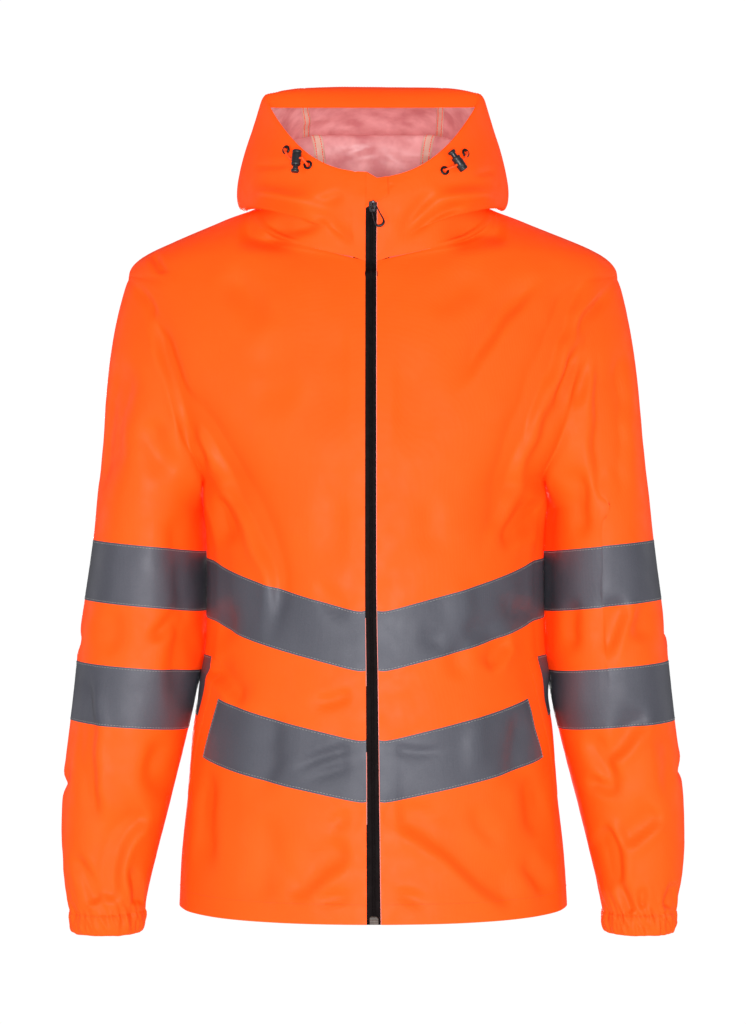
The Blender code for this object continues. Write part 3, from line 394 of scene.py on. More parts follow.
# ------------------------------------------------------------------ one shell surface
LEVELS = 3
FINE = 2 ** LEVELS
PANELS = ("front_left", "front_right", "back", "sleeve_left", "sleeve_right", "hood")
GRID = {
    "front_left": front_grid(-1), "front_right": front_grid(1), "back": back_grid(),
    "sleeve_left": sleeve_grid(-1), "sleeve_right": sleeve_grid(1), "hood": hood_grid(),
}
ARM0, SIDE0 = len(FRONT_NECK) - 1, len(FRONT_NECK) - 1 + len(FRONT_ARM)   # rows of a front
BACK_SHIFT = 1        # the back has one more row above the front's first

points, point_panel = [], []
index_of = {}
for p, name in enumerate(PANELS):
    g = GRID[name]
    tree = kdtree.KDTree(max(1, len(points)))
    for i, q in enumerate(points):
        tree.insert(Vector(q), i)
    tree.balance()
    ids = np.empty(g.shape[:2], int)
    have = len(points)
    for r in range(g.shape[0]):
        for c in range(g.shape[1]):
            if have:
                co, i, dist = tree.find(Vector(g[r, c]))
                if dist is not None and dist < 0.2:
                    ids[r, c] = i
                    continue
            ids[r, c] = len(points)
            points.append(g[r, c])
    index_of[name] = ids

faces, face_panel, face_uv = [], [], []


def centre_dir(face):
    q = np.array([points[i] for i in face])
    if len(face) == 3:
        n = np.cross(q[1] - q[0], q[2] - q[0])
    else:
        n = np.cross(q[2] - q[0], q[3] - q[1])
    return q.mean(0), n


for p, name in enumerate(PANELS):
    ids = index_of[name]
    rows, cols = ids.shape
    wrap = name.startswith("sleeve")
    made = []
    for r in range(rows - 1):
        for c in range(cols if wrap else cols - 1):
            d = (c + 1) % cols
            made.append(([ids[r, c], ids[r + 1, c], ids[r + 1, d], ids[r, d]],
                         [(c, r), (c, r + 1), (c + 1, r + 1), (c + 1, r)]))
    # one test turns the whole panel outward
    total = 0.0
    for face, uv in made:
        m, n = centre_dir(face)
        if wrap:
            ref = GRID[name].mean((0, 1))
            total += float(np.dot(n[:2], (m - ref)[:2]))
        elif name == "hood":
            if uv[0][1] < 8 and uv[0][0] < 4:
                total += -n[1]
        else:
            total += float(np.dot(n[:2], (m - np.array([0, AXIS_Y, 0]))[:2]))
    flip = total < 0
    for face, uv in made:
        if flip:
            face, uv = face[::-1], uv[::-1]
        faces.append(face)
        face_panel.append(p)
        face_uv.append(uv)
    if name.startswith("front"):
        # the fan between the first row and the two points of the neckline above it
        side = -1 if name.endswith("left") else 1
        n80 = index_of_point = None
        row = ids[0]
        neck80, tip = body(side, 80.0, neck_z(80.0)), body(side, 90.0, NECK_SIDE_Z)
        fan_points = []
        for q in (neck80, tip):
            fan_points.append(len(points))
            points.append(q)
        a, t = fan_points
        fans = [[a, row[0], row[1]]]
        split = 4
        for c in range(1, cols - 1):
            apex = a if c < split else t
            fans.append([apex, row[c], row[c + 1]])
            if c == split - 1:
                fans.append([a, row[c + 1], t])
        for f in fans:
            m, n = centre_dir(f)
            if n[2] < 0:
                f.reverse()
            faces.append(f)
            face_panel.append(p)
            face_uv.append([(99.0, 99.0)] * 3)

# points added for the fans are joined to the back's and the hood's
points = np.array(points)
tree = kdtree.KDTree(len(points))
for i, q in enumerate(points):
    tree.insert(Vector(q), i)
tree.balance()
first_at = np.arange(len(points))
for i, q in enumerate(points):
    near = [k for co, k, dist in tree.find_range(Vector(q), 0.2)]
    first_at[i] = min(near)
used = np.unique(first_at)
new_id = -np.ones(len(points), int)
new_id[used] = np.arange(len(used))
renumber = new_id[first_at]
points = points[used]
faces = [[int(renumber[i]) for i in f] for f in faces]
index_of = {n: renumber[a] for n, a in index_of.items()}


def control_mesh(co):
    mesh = bpy.data.meshes.new("control")
    mesh.from_pydata([tuple(q * MM) for q in co], [], faces)
    mesh.polygons.foreach_set("material_index", face_panel)
    uv = mesh.uv_layers.new(name="place")
    flat = [c for uvs in face_uv for pair in uvs for c in pair]
    uv.data.foreach_set("uv", flat)
    crease = mesh.attributes.new("crease_edge", "FLOAT", "EDGE")
    values = np.zeros(len(mesh.edges))
    arm = {}
    for name in ("sleeve_left", "sleeve_right"):
        ids = index_of[name]
        for k in range(16):
            turn = abs(((22.5 * (k + 0.5) + 180) % 360) - 180)
            arm[frozenset((int(ids[0, k]), int(ids[0, (k + 1) % 16])))] = turn
    for e in mesh.edges:
        turn = arm.get(frozenset(e.vertices))
        if turn is not None:
            values[e.index] = 0.85 * max(0.0, 1 - turn / 100.0)
    crease.data.foreach_set("value", values)
    vc = mesh.attributes.new("crease_vert", "FLOAT", "POINT")
    vvalues = np.zeros(len(mesh.vertices))
    hood = index_of["hood"]
    for c in (HOOD_CORNER, hood.shape[1] - 1 - HOOD_CORNER):
        vvalues[hood[-1, c]] = 0.7
    vc.data.foreach_set("value", vvalues)
    mesh.update()
    return mesh


def subdivided(co, levels):
    mesh = control_mesh(co)
    obj = bpy.data.objects.new("control", mesh)
    scene.collection.objects.link(obj)
    mod = obj.modifiers.new("surface", "SUBSURF")
    mod.levels = mod.render_levels = levels
    mod.uv_smooth = "NONE"
    mod.boundary_smooth = "PRESERVE_CORNERS"
    mod.use_limit_surface = True
    graph = bpy.context.evaluated_depsgraph_get()
    fine = bpy.data.meshes.new_from_object(obj.evaluated_get(graph), depsgraph=graph)
    bpy.data.objects.remove(obj, do_unlink=True)
    bpy.data.meshes.remove(mesh)
    return fine


def coords(mesh):
    co = np.empty(len(mesh.vertices) * 3)
    mesh.vertices.foreach_get("co", co)
    return co.reshape(-1, 3) / MM


hold = np.full(len(points), 1.0)
hold[np.unique(index_of["hood"][1:])] = 0.45
target = points.copy()
control = points.copy()
for _ in range(3):
    fine = subdivided(control, 2)
    got = coords(fine)[: len(points)]
    control += (target - got) * hold[:, None]
    bpy.data.meshes.remove(fine)
fine = subdivided(control, LEVELS)
co = coords(fine)
count = len(co)
n_faces = len(fine.polygons)
loops = np.empty(len(fine.loops), int)
fine.loops.foreach_get("vertex_index", loops)
panel_of_face = np.empty(n_faces, int)
fine.polygons.foreach_get("material_index", panel_of_face)
uv = np.empty(len(fine.loops) * 2)
fine.uv_layers["place"].data.foreach_get("uv", uv)
uv = uv.reshape(-1, 2)
quads = loops.reshape(-1, 4)           # every face is a quad after the first division
quad_uv = uv.reshape(-1, 4, 2)
bpy.data.meshes.remove(fine)
is_fan = quad_uv[:, :, 0].max(1) > 60

# the fine points of each panel as a grid of rows and columns
LATTICE = {}
for p, name in enumerate(PANELS):
    ids = index_of[name]
    wrap = name.startswith("sleeve")
    shape = ((ids.shape[0] - 1) * FINE + 1, (ids.shape[1] if wrap else ids.shape[1] - 1) * FINE + 1)
    lattice = -np.ones(shape, int)
    chosen = (panel_of_face == p) & ~is_fan
    cr = np.rint(quad_uv[chosen] * FINE).astype(int)
    lattice[cr[:, :, 1], cr[:, :, 0]] = quads[chosen]
    assert (lattice >= 0).all(), name
    LATTICE[name] = lattice


# a row of the hood at the chin that took points of the neckline gets its own
h_ = LATTICE["hood"]
middle_ = (co[h_[:-2]] + co[h_[2:]]) / 2
strayed = np.argwhere(np.linalg.norm(co[h_[1:-1]] - middle_, axis=2) > 80.0)
in_hood_panel = panel_of_face == PANELS.index("hood")
spans = np.max([np.linalg.norm(co[quads[:, i]] - co[quads[:, (i + 1) % 4]], axis=1) for i in range(4)], 0)
for r, c in strayed:
    old, own = h_[r + 1, c], len(co)
    co = np.concatenate([co, middle_[r, c][None]])
    taken = np.flatnonzero(in_hood_panel & (spans > 30.0) & (quads == old).any(1))
    quads[taken] = np.where(quads[taken] == old, own, quads[taken])
    h_[r + 1, c] = own
count = len(co)
print("points of its own for", strayed.tolist())


def vertex_normals(co):
    a, b, c, d = (co[quads[:, i]] for i in range(4))
    n = np.cross(c - a, d - b)
    out = np.zeros_like(co)
    for i in range(4):
        np.add.at(out, quads[:, i], n)
    return units(out)


def smoothed(values, rounds=1, share=0.5):
    """Values on the points, each moved towards the mean of its neighbours."""
    ends = np.concatenate([quads[:, [0, 1]], quads[:, [1, 2]], quads[:, [2, 3]], quads[:, [3, 0]]])
    ends = np.concatenate([ends, ends[:, ::-1]])
    weight = np.zeros(count)
    np.add.at(weight, ends[:, 0], 1.0)
    for _ in range(rounds):
        total = np.zeros_like(values)
        np.add.at(total, ends[:, 0], values[ends[:, 1]])
        mean = total / (weight if values.ndim == 1 else weight[:, None])
        values = values * (1 - share) + mean * share
    return values


print("shell points", count, "faces", n_faces)

# ------------------------------------------------------------------ zones and folds
def smoothstep(x, a, b):
    t = np.clip((x - a) / (b - a), 0.0, 1.0)
    return t * t * (3 - 2 * t)


def seen(p):
    """Places in the upright plane through the origin, as seen from the camera."""
    f = (p[:, 1] - EYE[1]) / -EYE[1]
    return np.stack([p[:, 0] / f, (p[:, 2] - EYE[2]) / f + EYE[2]], 1)


def member(*names):
    out = np.zeros(count)
    for name in names:
        out[np.unique(quads[panel_of_face == PANELS.index(name)])] = 1.0
    return out


base = co.copy()
# the neckline's seam lies flat in front: the surface runs smoothly across it there
neckline = kdtree.KDTree(LATTICE["hood"].shape[1])
for i, k in enumerate(LATTICE["hood"][0]):
    neckline.insert(Vector(base[k]), i)
neckline.balance()
from_neckline = np.array([neckline.find(Vector(q))[2] for q in base])
even = np.exp(-(from_neckline / 26.0) ** 4) * smoothstep(-base[:, 1], -6, 20)
held = np.zeros(count)
for name in ("front_left", "front_right"):
    held[LATTICE[name][:, : FINE + 1]] = 1.0
held[LATTICE["hood"][:, : FINE + 1]] = held[LATTICE["hood"][:, -FINE - 1:]] = 1.0
even *= 1 - smoothed(held, 3)
for _ in range(90):
    if _ % 10 == 0:
        normal = vertex_normals(base)
    move = ((smoothed(base, 1, 1.0) - base) * normal).sum(1)
    base += normal * (move * 0.6 * even)[:, None]


def crossings(points, faces):
    """The points of faces that cut other faces, and the panels of each pair."""
    tree = bvhtree.BVHTree.FromPolygons(points.tolist(), quads[faces].tolist())
    pairs = faces[np.array(tree.overlap(tree)).reshape(-1, 2)]
    a, b = quads[pairs[:, 0]], quads[pairs[:, 1]]
    return pairs[~(a[:, :, None] == b[:, None, :]).any((1, 2))]


# the roll behind the neck ends inside the hood's own sides
hood_lattice = LATTICE["hood"]
r_, c_ = np.meshgrid(np.arange(hood_lattice.shape[0]) / FINE, np.arange(hood_lattice.shape[1]) / FINE,
                     indexing="ij")
for side, middle in ((-1, 9.9), (1, hood_lattice.shape[1] // FINE - 9.9)):
    tuck = np.exp(-((c_ - middle) / 0.85) ** 2 - ((r_ - 4.5) / 1.05) ** 2)
    end_ = np.exp(-((c_ - middle - side * 1.1) / 0.8) ** 2 - ((r_ - 4.6) / 1.0) ** 2)
    base[hood_lattice] += tuck[..., None] * np.array([-side * 10.0, -5.0, -4.0])
    base[hood_lattice] += end_[..., None] * np.array([-side * 3.0, -2.0, -2.0])
# where the sheet cuts itself in the hood's tight folds it is eased apart
upper_faces = np.flatnonzero(base[quads[:, 0], 2] > -60)
in_hood_ = np.zeros(count)
in_hood_[hood_lattice[4:]] = 1.0
for _ in range(7):
    cut = crossings(base, upper_faces)
    if not len(cut):
        break
    ease = np.zeros(count)
    ease[np.unique(quads[cut])] = 1.0
    ease = np.minimum(1.0, 4 * smoothed(ease, 8)) * (1 - smoothed(held, 3))
    for _ in range(10):
        base += (smoothed(base, 1, 1.0) - base) * (0.7 * ease)[:, None]
    # the hood's lip rests on the shoulder and doesn't go into it
    of_hood = panel_of_face[cut] == PANELS.index("hood")
    lip = np.zeros(count)
    lip[np.unique(quads[cut[of_hood & ~of_hood[:, ::-1]]])] = 1.0
    lip = np.minimum(1.0, 3 * smoothed(lip * in_hood_, 5)) * in_hood_
    base += lip[:, None] * np.array([0.0, -0.9, 0.6])
normal = vertex_normals(base)
to_eye = units(EYE - base)
facing = (normal * to_eye).sum(1)
hood_row = np.full(count, -1.0)
hood_row[LATTICE["hood"]] = (np.arange(LATTICE["hood"].shape[0]) / FINE)[:, None]
hood_col = np.full(count, -1.0)
hood_col[LATTICE["hood"]] = (np.arange(LATTICE["hood"].shape[1]) / FINE)[None, :]

in_front = member("front_left", "front_right")
in_sleeve = member("sleeve_left", "sleeve_right")
in_hood = member("hood")
in_back = member("back")
to_front = smoothstep(facing, 0.0, 0.30)
from_behind = smoothstep(normal[:, 1], 0.0, 0.35)
plane_front = seen(base)
plane_back = np.stack([base[:, 0], base[:, 2]], 1)
plane_side = np.stack([base[:, 1], base[:, 2]], 1)
ZONE = {
    "front": (smoothed(in_front, 5) * to_front, plane_front, 1),
    "sleeve": (smoothed(in_sleeve, 5) * to_front, plane_front, 1),
    "body": (smoothed(np.maximum(in_front, in_sleeve), 5) * to_front, plane_front, 1),
    "collar": (smoothed(np.maximum(in_front, in_hood * (base[:, 1] < 20)), 4)
               * smoothstep(facing, 0.02, 0.30), plane_front, 1),
    "inside": (smoothed(in_hood * (base[:, 1] > 32) * (hood_row < 5.2), 4)
               * smoothstep(-facing, 0.0, 0.2), plane_front, -1),
    "back": (smoothed(in_back, 5) * from_behind, plane_back, 1),
    "sleeve_back": (smoothed(in_sleeve, 5) * from_behind, plane_back, 1),
    "sleeve_left_side": (smoothed(in_sleeve * (base[:, 0] < 0), 5)
                         * smoothstep(-normal[:, 0], 0.1, 0.5), plane_side, 1),
    "sleeve_right_side": (smoothed(in_sleeve * (base[:, 0] > 0), 5)
                          * smoothstep(normal[:, 0], 0.1, 0.5), plane_side, 1),
    "hood_back": (smoothed(in_hood * (base[:, 1] > 20), 4)
                  * smoothstep(normal[:, 1], 0.0, 0.3), plane_back, 1),
    "hood_top": (smoothed(in_hood * (hood_row > 6.5), 4)
                 * smoothstep(normal[:, 2], 0.1, 0.4),
                 np.stack([base[:, 0], base[:, 1]], 1), 1),
}


def curve(points, step=4.0):
    pts = [np.array(p, float) for p in points]
    n = len(pts)
    fine_line = []
    for i in range(n - 1):
        a, b, c, d = pts[max(i - 1, 0)], pts[i], pts[i + 1], pts[min(i + 2, n - 1)]
        parts = max(1, int(np.linalg.norm(c - b) / step))
        for s in range(parts):
            t = s / parts
            fine_line.append(0.5 * (2 * b + (c - a) * t + (2 * a - 5 * b + 4 * c - d) * t * t
                                    + (3 * b - a - 3 * c + d) * t ** 3))
    fine_line.append(pts[-1])
    return np.array(fine_line)


def noise_at(p, scale, seed=0.0, squash=(1, 1, 1)):
    from mathutils import noise
    q = p / scale * np.array(squash) + seed
    return np.array([noise.noise(Vector(v)) for v in q])


wander = noise_at(base, 28.0, 7.3)

# A fold is a soft trough along a line (a ridge where its depth is negative).  Lines
# are x, z in the zone's own plane.  lead and trail are the shares of its length over
# which it fades in and out, and lean makes one flank steeper than the other.
Fold = namedtuple("Fold", "zone line width depth lead trail lean")
FOLDS = (
    # left front: the armhole's own drag, and the long one from the armpit down to the zip
    Fold("body", ((-218, -91), (-207, -132), (-195, -168), (-186, -205), (-182, -227)),
         8, 6.6, 0.25, 0.25, -0.3),
    Fold("body", ((-198, -161), (-182, -186), (-163, -214), (-145, -241), (-127, -277),
                  (-111, -309), (-97, -345), (-93, -365), (-97, -392), (-103, -430)),
         11, 7.6, 0.12, 0.34, -0.5),
    Fold("body", ((-190, -196), (-176, -222), (-164, -250)), 6, 3.0, 0.3, 0.4, 0.0),
    Fold("front", ((-156, -268), (-148, -292), (-144, -322)), 9, 5.0, 0.3, 0.35, -0.4),
    Fold("front", ((-146, -34), (-127, -74), (-109, -112)), 15, 3.6, 0.35, 0.5, 0.0),
    Fold("front", ((-106, -100), (-99, -150), (-106, -200)), 20, 2.6, 0.4, 0.4, 0.0),
    Fold("front", ((-60, -60), (-48, -140), (-62, -230)), 26, 2.0, 0.4, 0.4, 0.0),
    Fold("front", ((-52, -250), (-40, -300), (-52, -350)), 18, 2.0, 0.4, 0.4, 0.0),
    Fold("body", ((-221, -26), (-216, -38), (-209, -50)), 4.5, 3.2, 0.3, 0.3, 0.0),
    Fold("body", ((-238, -60), (-226, -74), (-218, -92)), 4.5, 2.6, 0.3, 0.2, 0.0),
    # right front
    Fold("body", ((166, -45), (150, -68), (128, -93), (101, -132), (74, -170)),
         11, 6.0, 0.30, 0.45, 0.5),
    Fold("body", ((215, -42), (195, -87), (181, -120), (168, -155), (148, -210),
                  (125, -280), (99, -336)), 12, 8.0, 0.15, 0.35, 0.6),
    Fold("body", ((196, -150), (180, -186), (160, -232), (146, -268)), 9, 3.2, 0.3, 0.4, 0.2),
    Fold("front", ((168, -278), (148, -300), (127, -322)), 10, 7.0, 0.25, 0.35, 0.4),
    Fold("front", ((58, -262), (56, -336)), 16, 2.2, 0.4, 0.4, 0.0),
    Fold("front", ((44, -110), (38, -170), (50, -240)), 24, 2.0, 0.4, 0.4, 0.0),
    Fold("front", ((118, -50), (88, -62), (52, -88)), 15, 2.6, 0.4, 0.5, 0.0),
    Fold("body", ((240, -64), (224, -80), (210, -95), (203, -116)), 4.5, 3.0, 0.3, 0.3, 0.0),
    Fold("body", ((206, -122), (199, -142), (190, -170), (186, -186)), 5.5, 5.0, 0.25, 0.35, 0.2),
    # under the hood, right: the hollow beside the neck, and the drag lines to the chin
    Fold("collar", ((136, -8), (114, -10), (92, -12), (70, -15)), 13, 8.5, 0.20, 0.40, 0.25),
    Fold("collar", ((100, 22), (82, 20), (62, 10), (44, -4), (28, -20)), 7.5, 4.4, 0.25, 0.35, 0.3),
    Fold("collar", ((128, 30), (104, 30), (78, 27), (56, 22)), 9, -5.5, 0.2, 0.4, 0.0),
    Fold("collar", ((98, -8), (84, -26)), 11, 3.0, 0.4, 0.5, 0.0),
    Fold("collar", ((64, 36), (46, 20), (34, 2), (28, -14)), 7, 4.0, 0.3, 0.4, 0.3),
    Fold("collar", ((-62, 20), (-46, 6), (-30, -10), (-20, -24)), 8, 3.6, 0.3, 0.4, -0.3),
    # under the hood, left
    Fold("collar", ((-136, -8), (-114, -11), (-94, -14), (-72, -17)), 13, 8.5, 0.20, 0.40, -0.25),
    Fold("collar", ((-108, 6), (-97, 0), (-83, -5), (-68, -4), (-57, 4), (-47, 16)),
         7.5, 4.0, 0.25, 0.30, -0.3),
    Fold("collar", ((-126, 30), (-100, 28), (-74, 24), (-50, 26)), 9, -5.5, 0.2, 0.4, 0.0),
    Fold("collar", ((-108, -10), (-90, -28)), 13, 3.0, 0.3, 0.5, 0.0),
    Fold("collar", ((-30, 34), (-44, 26), (-60, 22)), 6, 2.2, 0.3, 0.4, -0.3),
    # sides of the hood
    Fold("collar", ((-122, 58.5), (-102, 59.5), (-80, 63)), 4.6, 2.6, 0.30, 0.3, -0.3),
    Fold("collar", ((102, 51), (113, 52.5), (125, 54.5)), 4.2, 2.4, 0.3, 0.3, -0.3),
    Fold("collar", ((-50, 44), (-84, 48), (-124, 40)), 13, 2.2, 0.4, 0.4, 0.0),
    Fold("collar", ((52, 38), (88, 42), (124, 34)), 13, 2.2, 0.4, 0.4, 0.0),
    # chin
    Fold("collar", ((-7.4, 54), (-7.0, 44), (-7.8, 33)), 2.4, 1.6, 0.1, 0.2, 0.0),
    Fold("collar", ((18, 43), (14, 36), (11, 31)), 2.4, 1.8, 0.3, 0.1, 0.0),
    # round the upper tape
    Fold("front", ((84, -408), (108, -402), (136, -396)), 7.5, 3.4, 0.35, 0.4, 0.4),
    Fold("front", ((46, -405), (76, -420)), 6.5, 2.6, 0.4, 0.4, 0.3),
    Fold("front", ((122, -378), (168, -388)), 8.0, 3.4, 0.35, 0.35, 0.3),
    Fold("front", ((92, -350), (88, -386), (96, -420)), 12, -2.0, 0.3, 0.4, 0.0),
    Fold("front", ((-62, -352), (-40, -378), (-14, -388)), 9, 2.2, 0.4, 0.4, 0.0),
    Fold("front", ((-150, -372), (-146, -400), (-150, -420)), 11, 2.6, 0.3, 0.4, 0.0),
    # between the tapes
    Fold("front", ((136, -412), (126, -428), (116, -446)), 7.5, 6.0, 0.25, 0.35, 0.5),
    Fold("front", ((84, -412), (84, -458)), 9, 2.4, 0.4, 0.4, 0.0),
    Fold("front", ((-163, -438), (-146, -458), (-128, -482)), 7.5, 6.0, 0.2, 0.4, -0.5),
    Fold("front", ((-16, -464), (-38, -475), (-66, -482)), 6.5, 2.8, 0.3, 0.4, 0.0),
    # on the lower tape
    Fold("front", ((-4, -517), (-44, -529), (-92, -548)), 5.0, 2.4, 0.10, 0.5, -0.4),
    Fold("front", ((-4, -533), (-36, -544), (-80, -560)), 4.4, 1.9, 0.10, 0.5, -0.4),
    Fold("front", ((-96, -480), (-104, -520), (-110, -580)), 15, 3.0, 0.3, 0.4, 0.3),
    Fold("front", ((146, -480), (142, -520), (134, -570)), 15, 3.6, 0.3, 0.4, -0.3),
    Fold("front", ((108, -480), (104, -520), (106, -560)), 11, -2.2, 0.35, 0.4, 0.0),
    Fold("front", ((6, -519), (44, -527), (84, -523)), 5.0, 2.0, 0.15, 0.5, 0.4),
    # below the lower tape, left
    Fold("front", ((-8, -589), (-32, -595), (-50, -608)), 5.5, 3.6, 0.15, 0.4, 0.0),
    Fold("front", ((-20, -621), (-52, -645), (-86, -678)), 12, 6.6, 0.2, 0.25, 0.5),
    Fold("front", ((-6, -668), (-40, -673), (-76, -680)), 6.0, 2.8, 0.2, 0.4, 0.0),
    Fold("front", ((-166, -540), (-168, -595), (-162, -650)), 9, 4.6, 0.25, 0.35, 0.0),
    Fold("front", ((-112, -580), (-104, -630), (-116, -680)), 16, 2.8, 0.35, 0.2, 0.0),
    # below the lower tape, right
    Fold("front", ((7, -589), (37, -600), (67, -615), (97, -640), (127, -666), (148, -679)),
         11, 8.4, 0.06, 0.20, -0.6),
    Fold("front", ((7, -588), (38, -586), (70, -588)), 4.5, 3.2, 0.08, 0.5, 0.0),
    Fold("front", ((7, -667), (32, -672), (60, -681)), 6.0, 3.2, 0.2, 0.4, 0.0),
    Fold("front", ((157, -546), (162, -580), (158, -614)), 11, 4.6, 0.3, 0.3, 0.0),
    Fold("front", ((148, -636), (162, -650), (178, -668)), 8, 4.6, 0.3, 0.35, 0.0),
    Fold("front", ((98, -580), (112, -604), (134, -622)), 9, 2.6, 0.3, 0.4, 0.0),
    # right sleeve
    Fold("sleeve", ((215, -128), (208, -155), (202, -186)), 7, 4.0, 0.3, 0.35, 0.0),
    Fold("sleeve", ((226, -120), (228, -200), (226, -300)), 9, 4.6, 0.25, 0.35, -0.4),
    Fold("sleeve", ((250, -110), (247, -190), (251, -292)), 10, 4.2, 0.25, 0.35, 0.4),
    Fold("sleeve", ((206, -238), (201, -280), (203, -318)), 10, 4.6, 0.3, 0.3, 0.0),
    Fold("sleeve", ((250, -372), (241, -402), (229, -436)), 9, 6.4, 0.25, 0.35, 0.5),
    Fold("sleeve", ((279, -372), (272, -396), (265, -420)), 9, 3.8, 0.3, 0.35, 0.0),
    Fold("sleeve", ((196, -372), (190, -400), (196, -432)), 8, 4.0, 0.3, 0.35, 0.0),
    Fold("sleeve", ((274, -488), (250, -519), (228, -536)), 8, 6.6, 0.2, 0.3, 0.5),
    Fold("sleeve", ((216, -506), (231, -540), (246, -566)), 7, 5.0, 0.25, 0.3, 0.0),
    Fold("sleeve", ((213, -553), (230, -562), (250, -566)), 5.5, 4.4, 0.25, 0.35, 0.0),
    Fold("sleeve", ((290, -588), (267, -605), (245, -621)), 8.5, 6.8, 0.25, 0.3, 0.5),
    Fold("sleeve", ((225, -602), (240, -625), (243, -668)), 8.5, 7.6, 0.2, 0.3, 0.5),
    Fold("sleeve", ((244, -658), (260, -688)), 4.5, 3.6, 0.3, 0.1, 0.0),
    Fold("sleeve", ((270, -662), (270, -684)), 4.0, 3.0, 0.3, 0.1, 0.0),
    Fold("sleeve", ((304, -656), (295, -684)), 4.5, 3.4, 0.3, 0.1, 0.0),
    Fold("sleeve", ((290, -500), (296, -540), (290, -580)), 10, 3.2, 0.3, 0.4, 0.0),
    # left sleeve
    Fold("sleeve", ((-250, -128), (-259, -182), (-274, -275)), 11, 5.2, 0.25, 0.35, -0.4),
    Fold("sleeve", ((-230, -190), (-218, -224), (-203, -258)), 12, 4.0, 0.3, 0.4, 0.0),
    Fold("sleeve", ((-194, -278), (-193, -340), (-190, -420), (-192, -500)), 14, 4.2, 0.15, 0.2, -0.2),
    Fold("sleeve", ((-226, -417), (-204, -400), (-181, -383)), 6, 4.4, 0.3, 0.3, 0.0),
    Fold("sleeve", ((-270, -380), (-262, -410), (-268, -436)), 12, 3.2, 0.3, 0.4, 0.0),
    Fold("sleeve", ((-287, -450), (-287, -500), (-285, -560), (-274, -608)), 9, 6.2, 0.2, 0.3, 0.5),
    Fold("sleeve", ((-223, -588), (-251, -609), (-261, -635), (-261, -680)), 9, 8.0, 0.15, 0.15, 0.6),
    Fold("sleeve", ((-304, -628), (-284, -658), (-277, -680)), 5.5, 4.4, 0.3, 0.1, 0.0),
    Fold("sleeve", ((-206, -510), (-216, -545), (-206, -580)), 10, 4.0, 0.25, 0.35, 0.0),
    Fold("sleeve", ((-240, -640), (-236, -680)), 4.5, 3.2, 0.3, 0.1, 0.0),
    # inside the hood
    Fold("inside", ((6, 77), (20, 69), (38, 64), (61, 66)), 4.5, 4.6, 0.2, 0.3, 0.3),
    Fold("inside", ((-44, 73), (-28, 69), (-4, 76), (14, 80)), 5.5, 3.6, 0.3, 0.4, -0.2),
    Fold("inside", ((22, 92), (36, 84), (52, 80)), 5.0, 2.6, 0.3, 0.4, 0.0),
    Fold("inside", ((-30, 62), (-10, 60), (8, 64)), 5.0, 2.4, 0.3, 0.4, 0.0),
    # back: drag lines from the armholes and shoulder blades, hem folds
    Fold("back", ((172, -200), (140, -256), (116, -316), (108, -380)), 12, 5.6, 0.08, 0.4, 0.5),
    Fold("back", ((-174, -204), (-142, -252), (-108, -302), (-86, -362)), 12, 5.2, 0.08, 0.4, -0.5),
    Fold("back", ((176, -62), (134, -120), (96, -210)), 15, 4.0, 0.3, 0.5, 0.4),
    Fold("back", ((-182, -58), (-140, -108), (-112, -186)), 15, 3.8, 0.3, 0.5, -0.4),
    Fold("back", ((18, -40), (26, -140), (8, -260)), 24, 1.8, 0.3, 0.4, 0.0),
    Fold("back", ((-44, -330), (-58, -420), (-48, -520)), 20, 1.8, 0.4, 0.4, 0.0),
    Fold("back", ((98, -500), (78, -590), (90, -684)), 14, 4.6, 0.3, 0.02, 0.4),
    Fold("back", ((-22, -530), (-44, -610), (-34, -684)), 14, 4.2, 0.3, 0.02, -0.3),
    Fold("back", ((-132, -490), (-118, -580), (-134, -684)), 13, 4.2, 0.3, 0.02, -0.4),
    Fold("back", ((30, -560), (22, -620), (34, -676)), 12, -1.8, 0.3, 0.05, 0.0),
    Fold("back", ((150, -440), (128, -462), (110, -498)), 9, 2.6, 0.2, 0.5, 0.0),
    Fold("back", ((-152, -400), (-126, -420), (-112, -452)), 9, 2.4, 0.2, 0.5, 0.0),
    # sleeves from behind and from the sides
    Fold("sleeve_back", ((250, -130), (240, -210), (246, -300)), 15, 2.4, 0.3, 0.4, 0.0),
    Fold("sleeve_back", ((-254, -140), (-238, -220), (-250, -320)), 15, 2.4, 0.3, 0.4, 0.0),
    Fold("sleeve_back", ((226, -400), (244, -425), (272, -430)), 8, 3.0, 0.2, 0.4, 0.2),
    Fold("sleeve_back", ((-228, -396), (-250, -416), (-280, -424)), 8, 2.8, 0.2, 0.4, -0.2),
    Fold("sleeve_back", ((238, -520), (258, -545), (286, -552)), 7, 2.6, 0.3, 0.4, 0.0),
    Fold("sleeve_back", ((-240, -530), (-262, -548), (-292, -570)), 7, 2.6, 0.3, 0.4, 0.0),
    Fold("sleeve_back", ((250, -600), (264, -640), (262, -680)), 6, 2.2, 0.3, 0.1, 0.0),
    Fold("sleeve_back", ((-252, -592), (-268, -630), (-264, -680)), 6, 2.2, 0.3, 0.1, 0.0),
    Fold("sleeve_left_side", ((20, -150), (4, -230), (16, -300)), 16, 2.2, 0.3, 0.4, 0.0),
    Fold("sleeve_left_side", ((36, -400), (4, -420), (-34, -408)), 8, 2.6, 0.3, 0.3, 0.3),
    Fold("sleeve_left_side", ((-40, -540), (-8, -560), (24, -545)), 8, 2.8, 0.3, 0.3, 0.2),
    Fold("sleeve_left_side", ((-20, -620), (-12, -650), (-14, -684)), 6, 2.2, 0.3, 0.1, 0.0),
    Fold("sleeve_right_side", ((14, -140), (2, -220), (18, -310)), 16, 2.2, 0.3, 0.4, 0.0),
    Fold("sleeve_right_side", ((40, -420), (6, -404), (-30, -418)), 8, 2.6, 0.3, 0.3, 0.3),
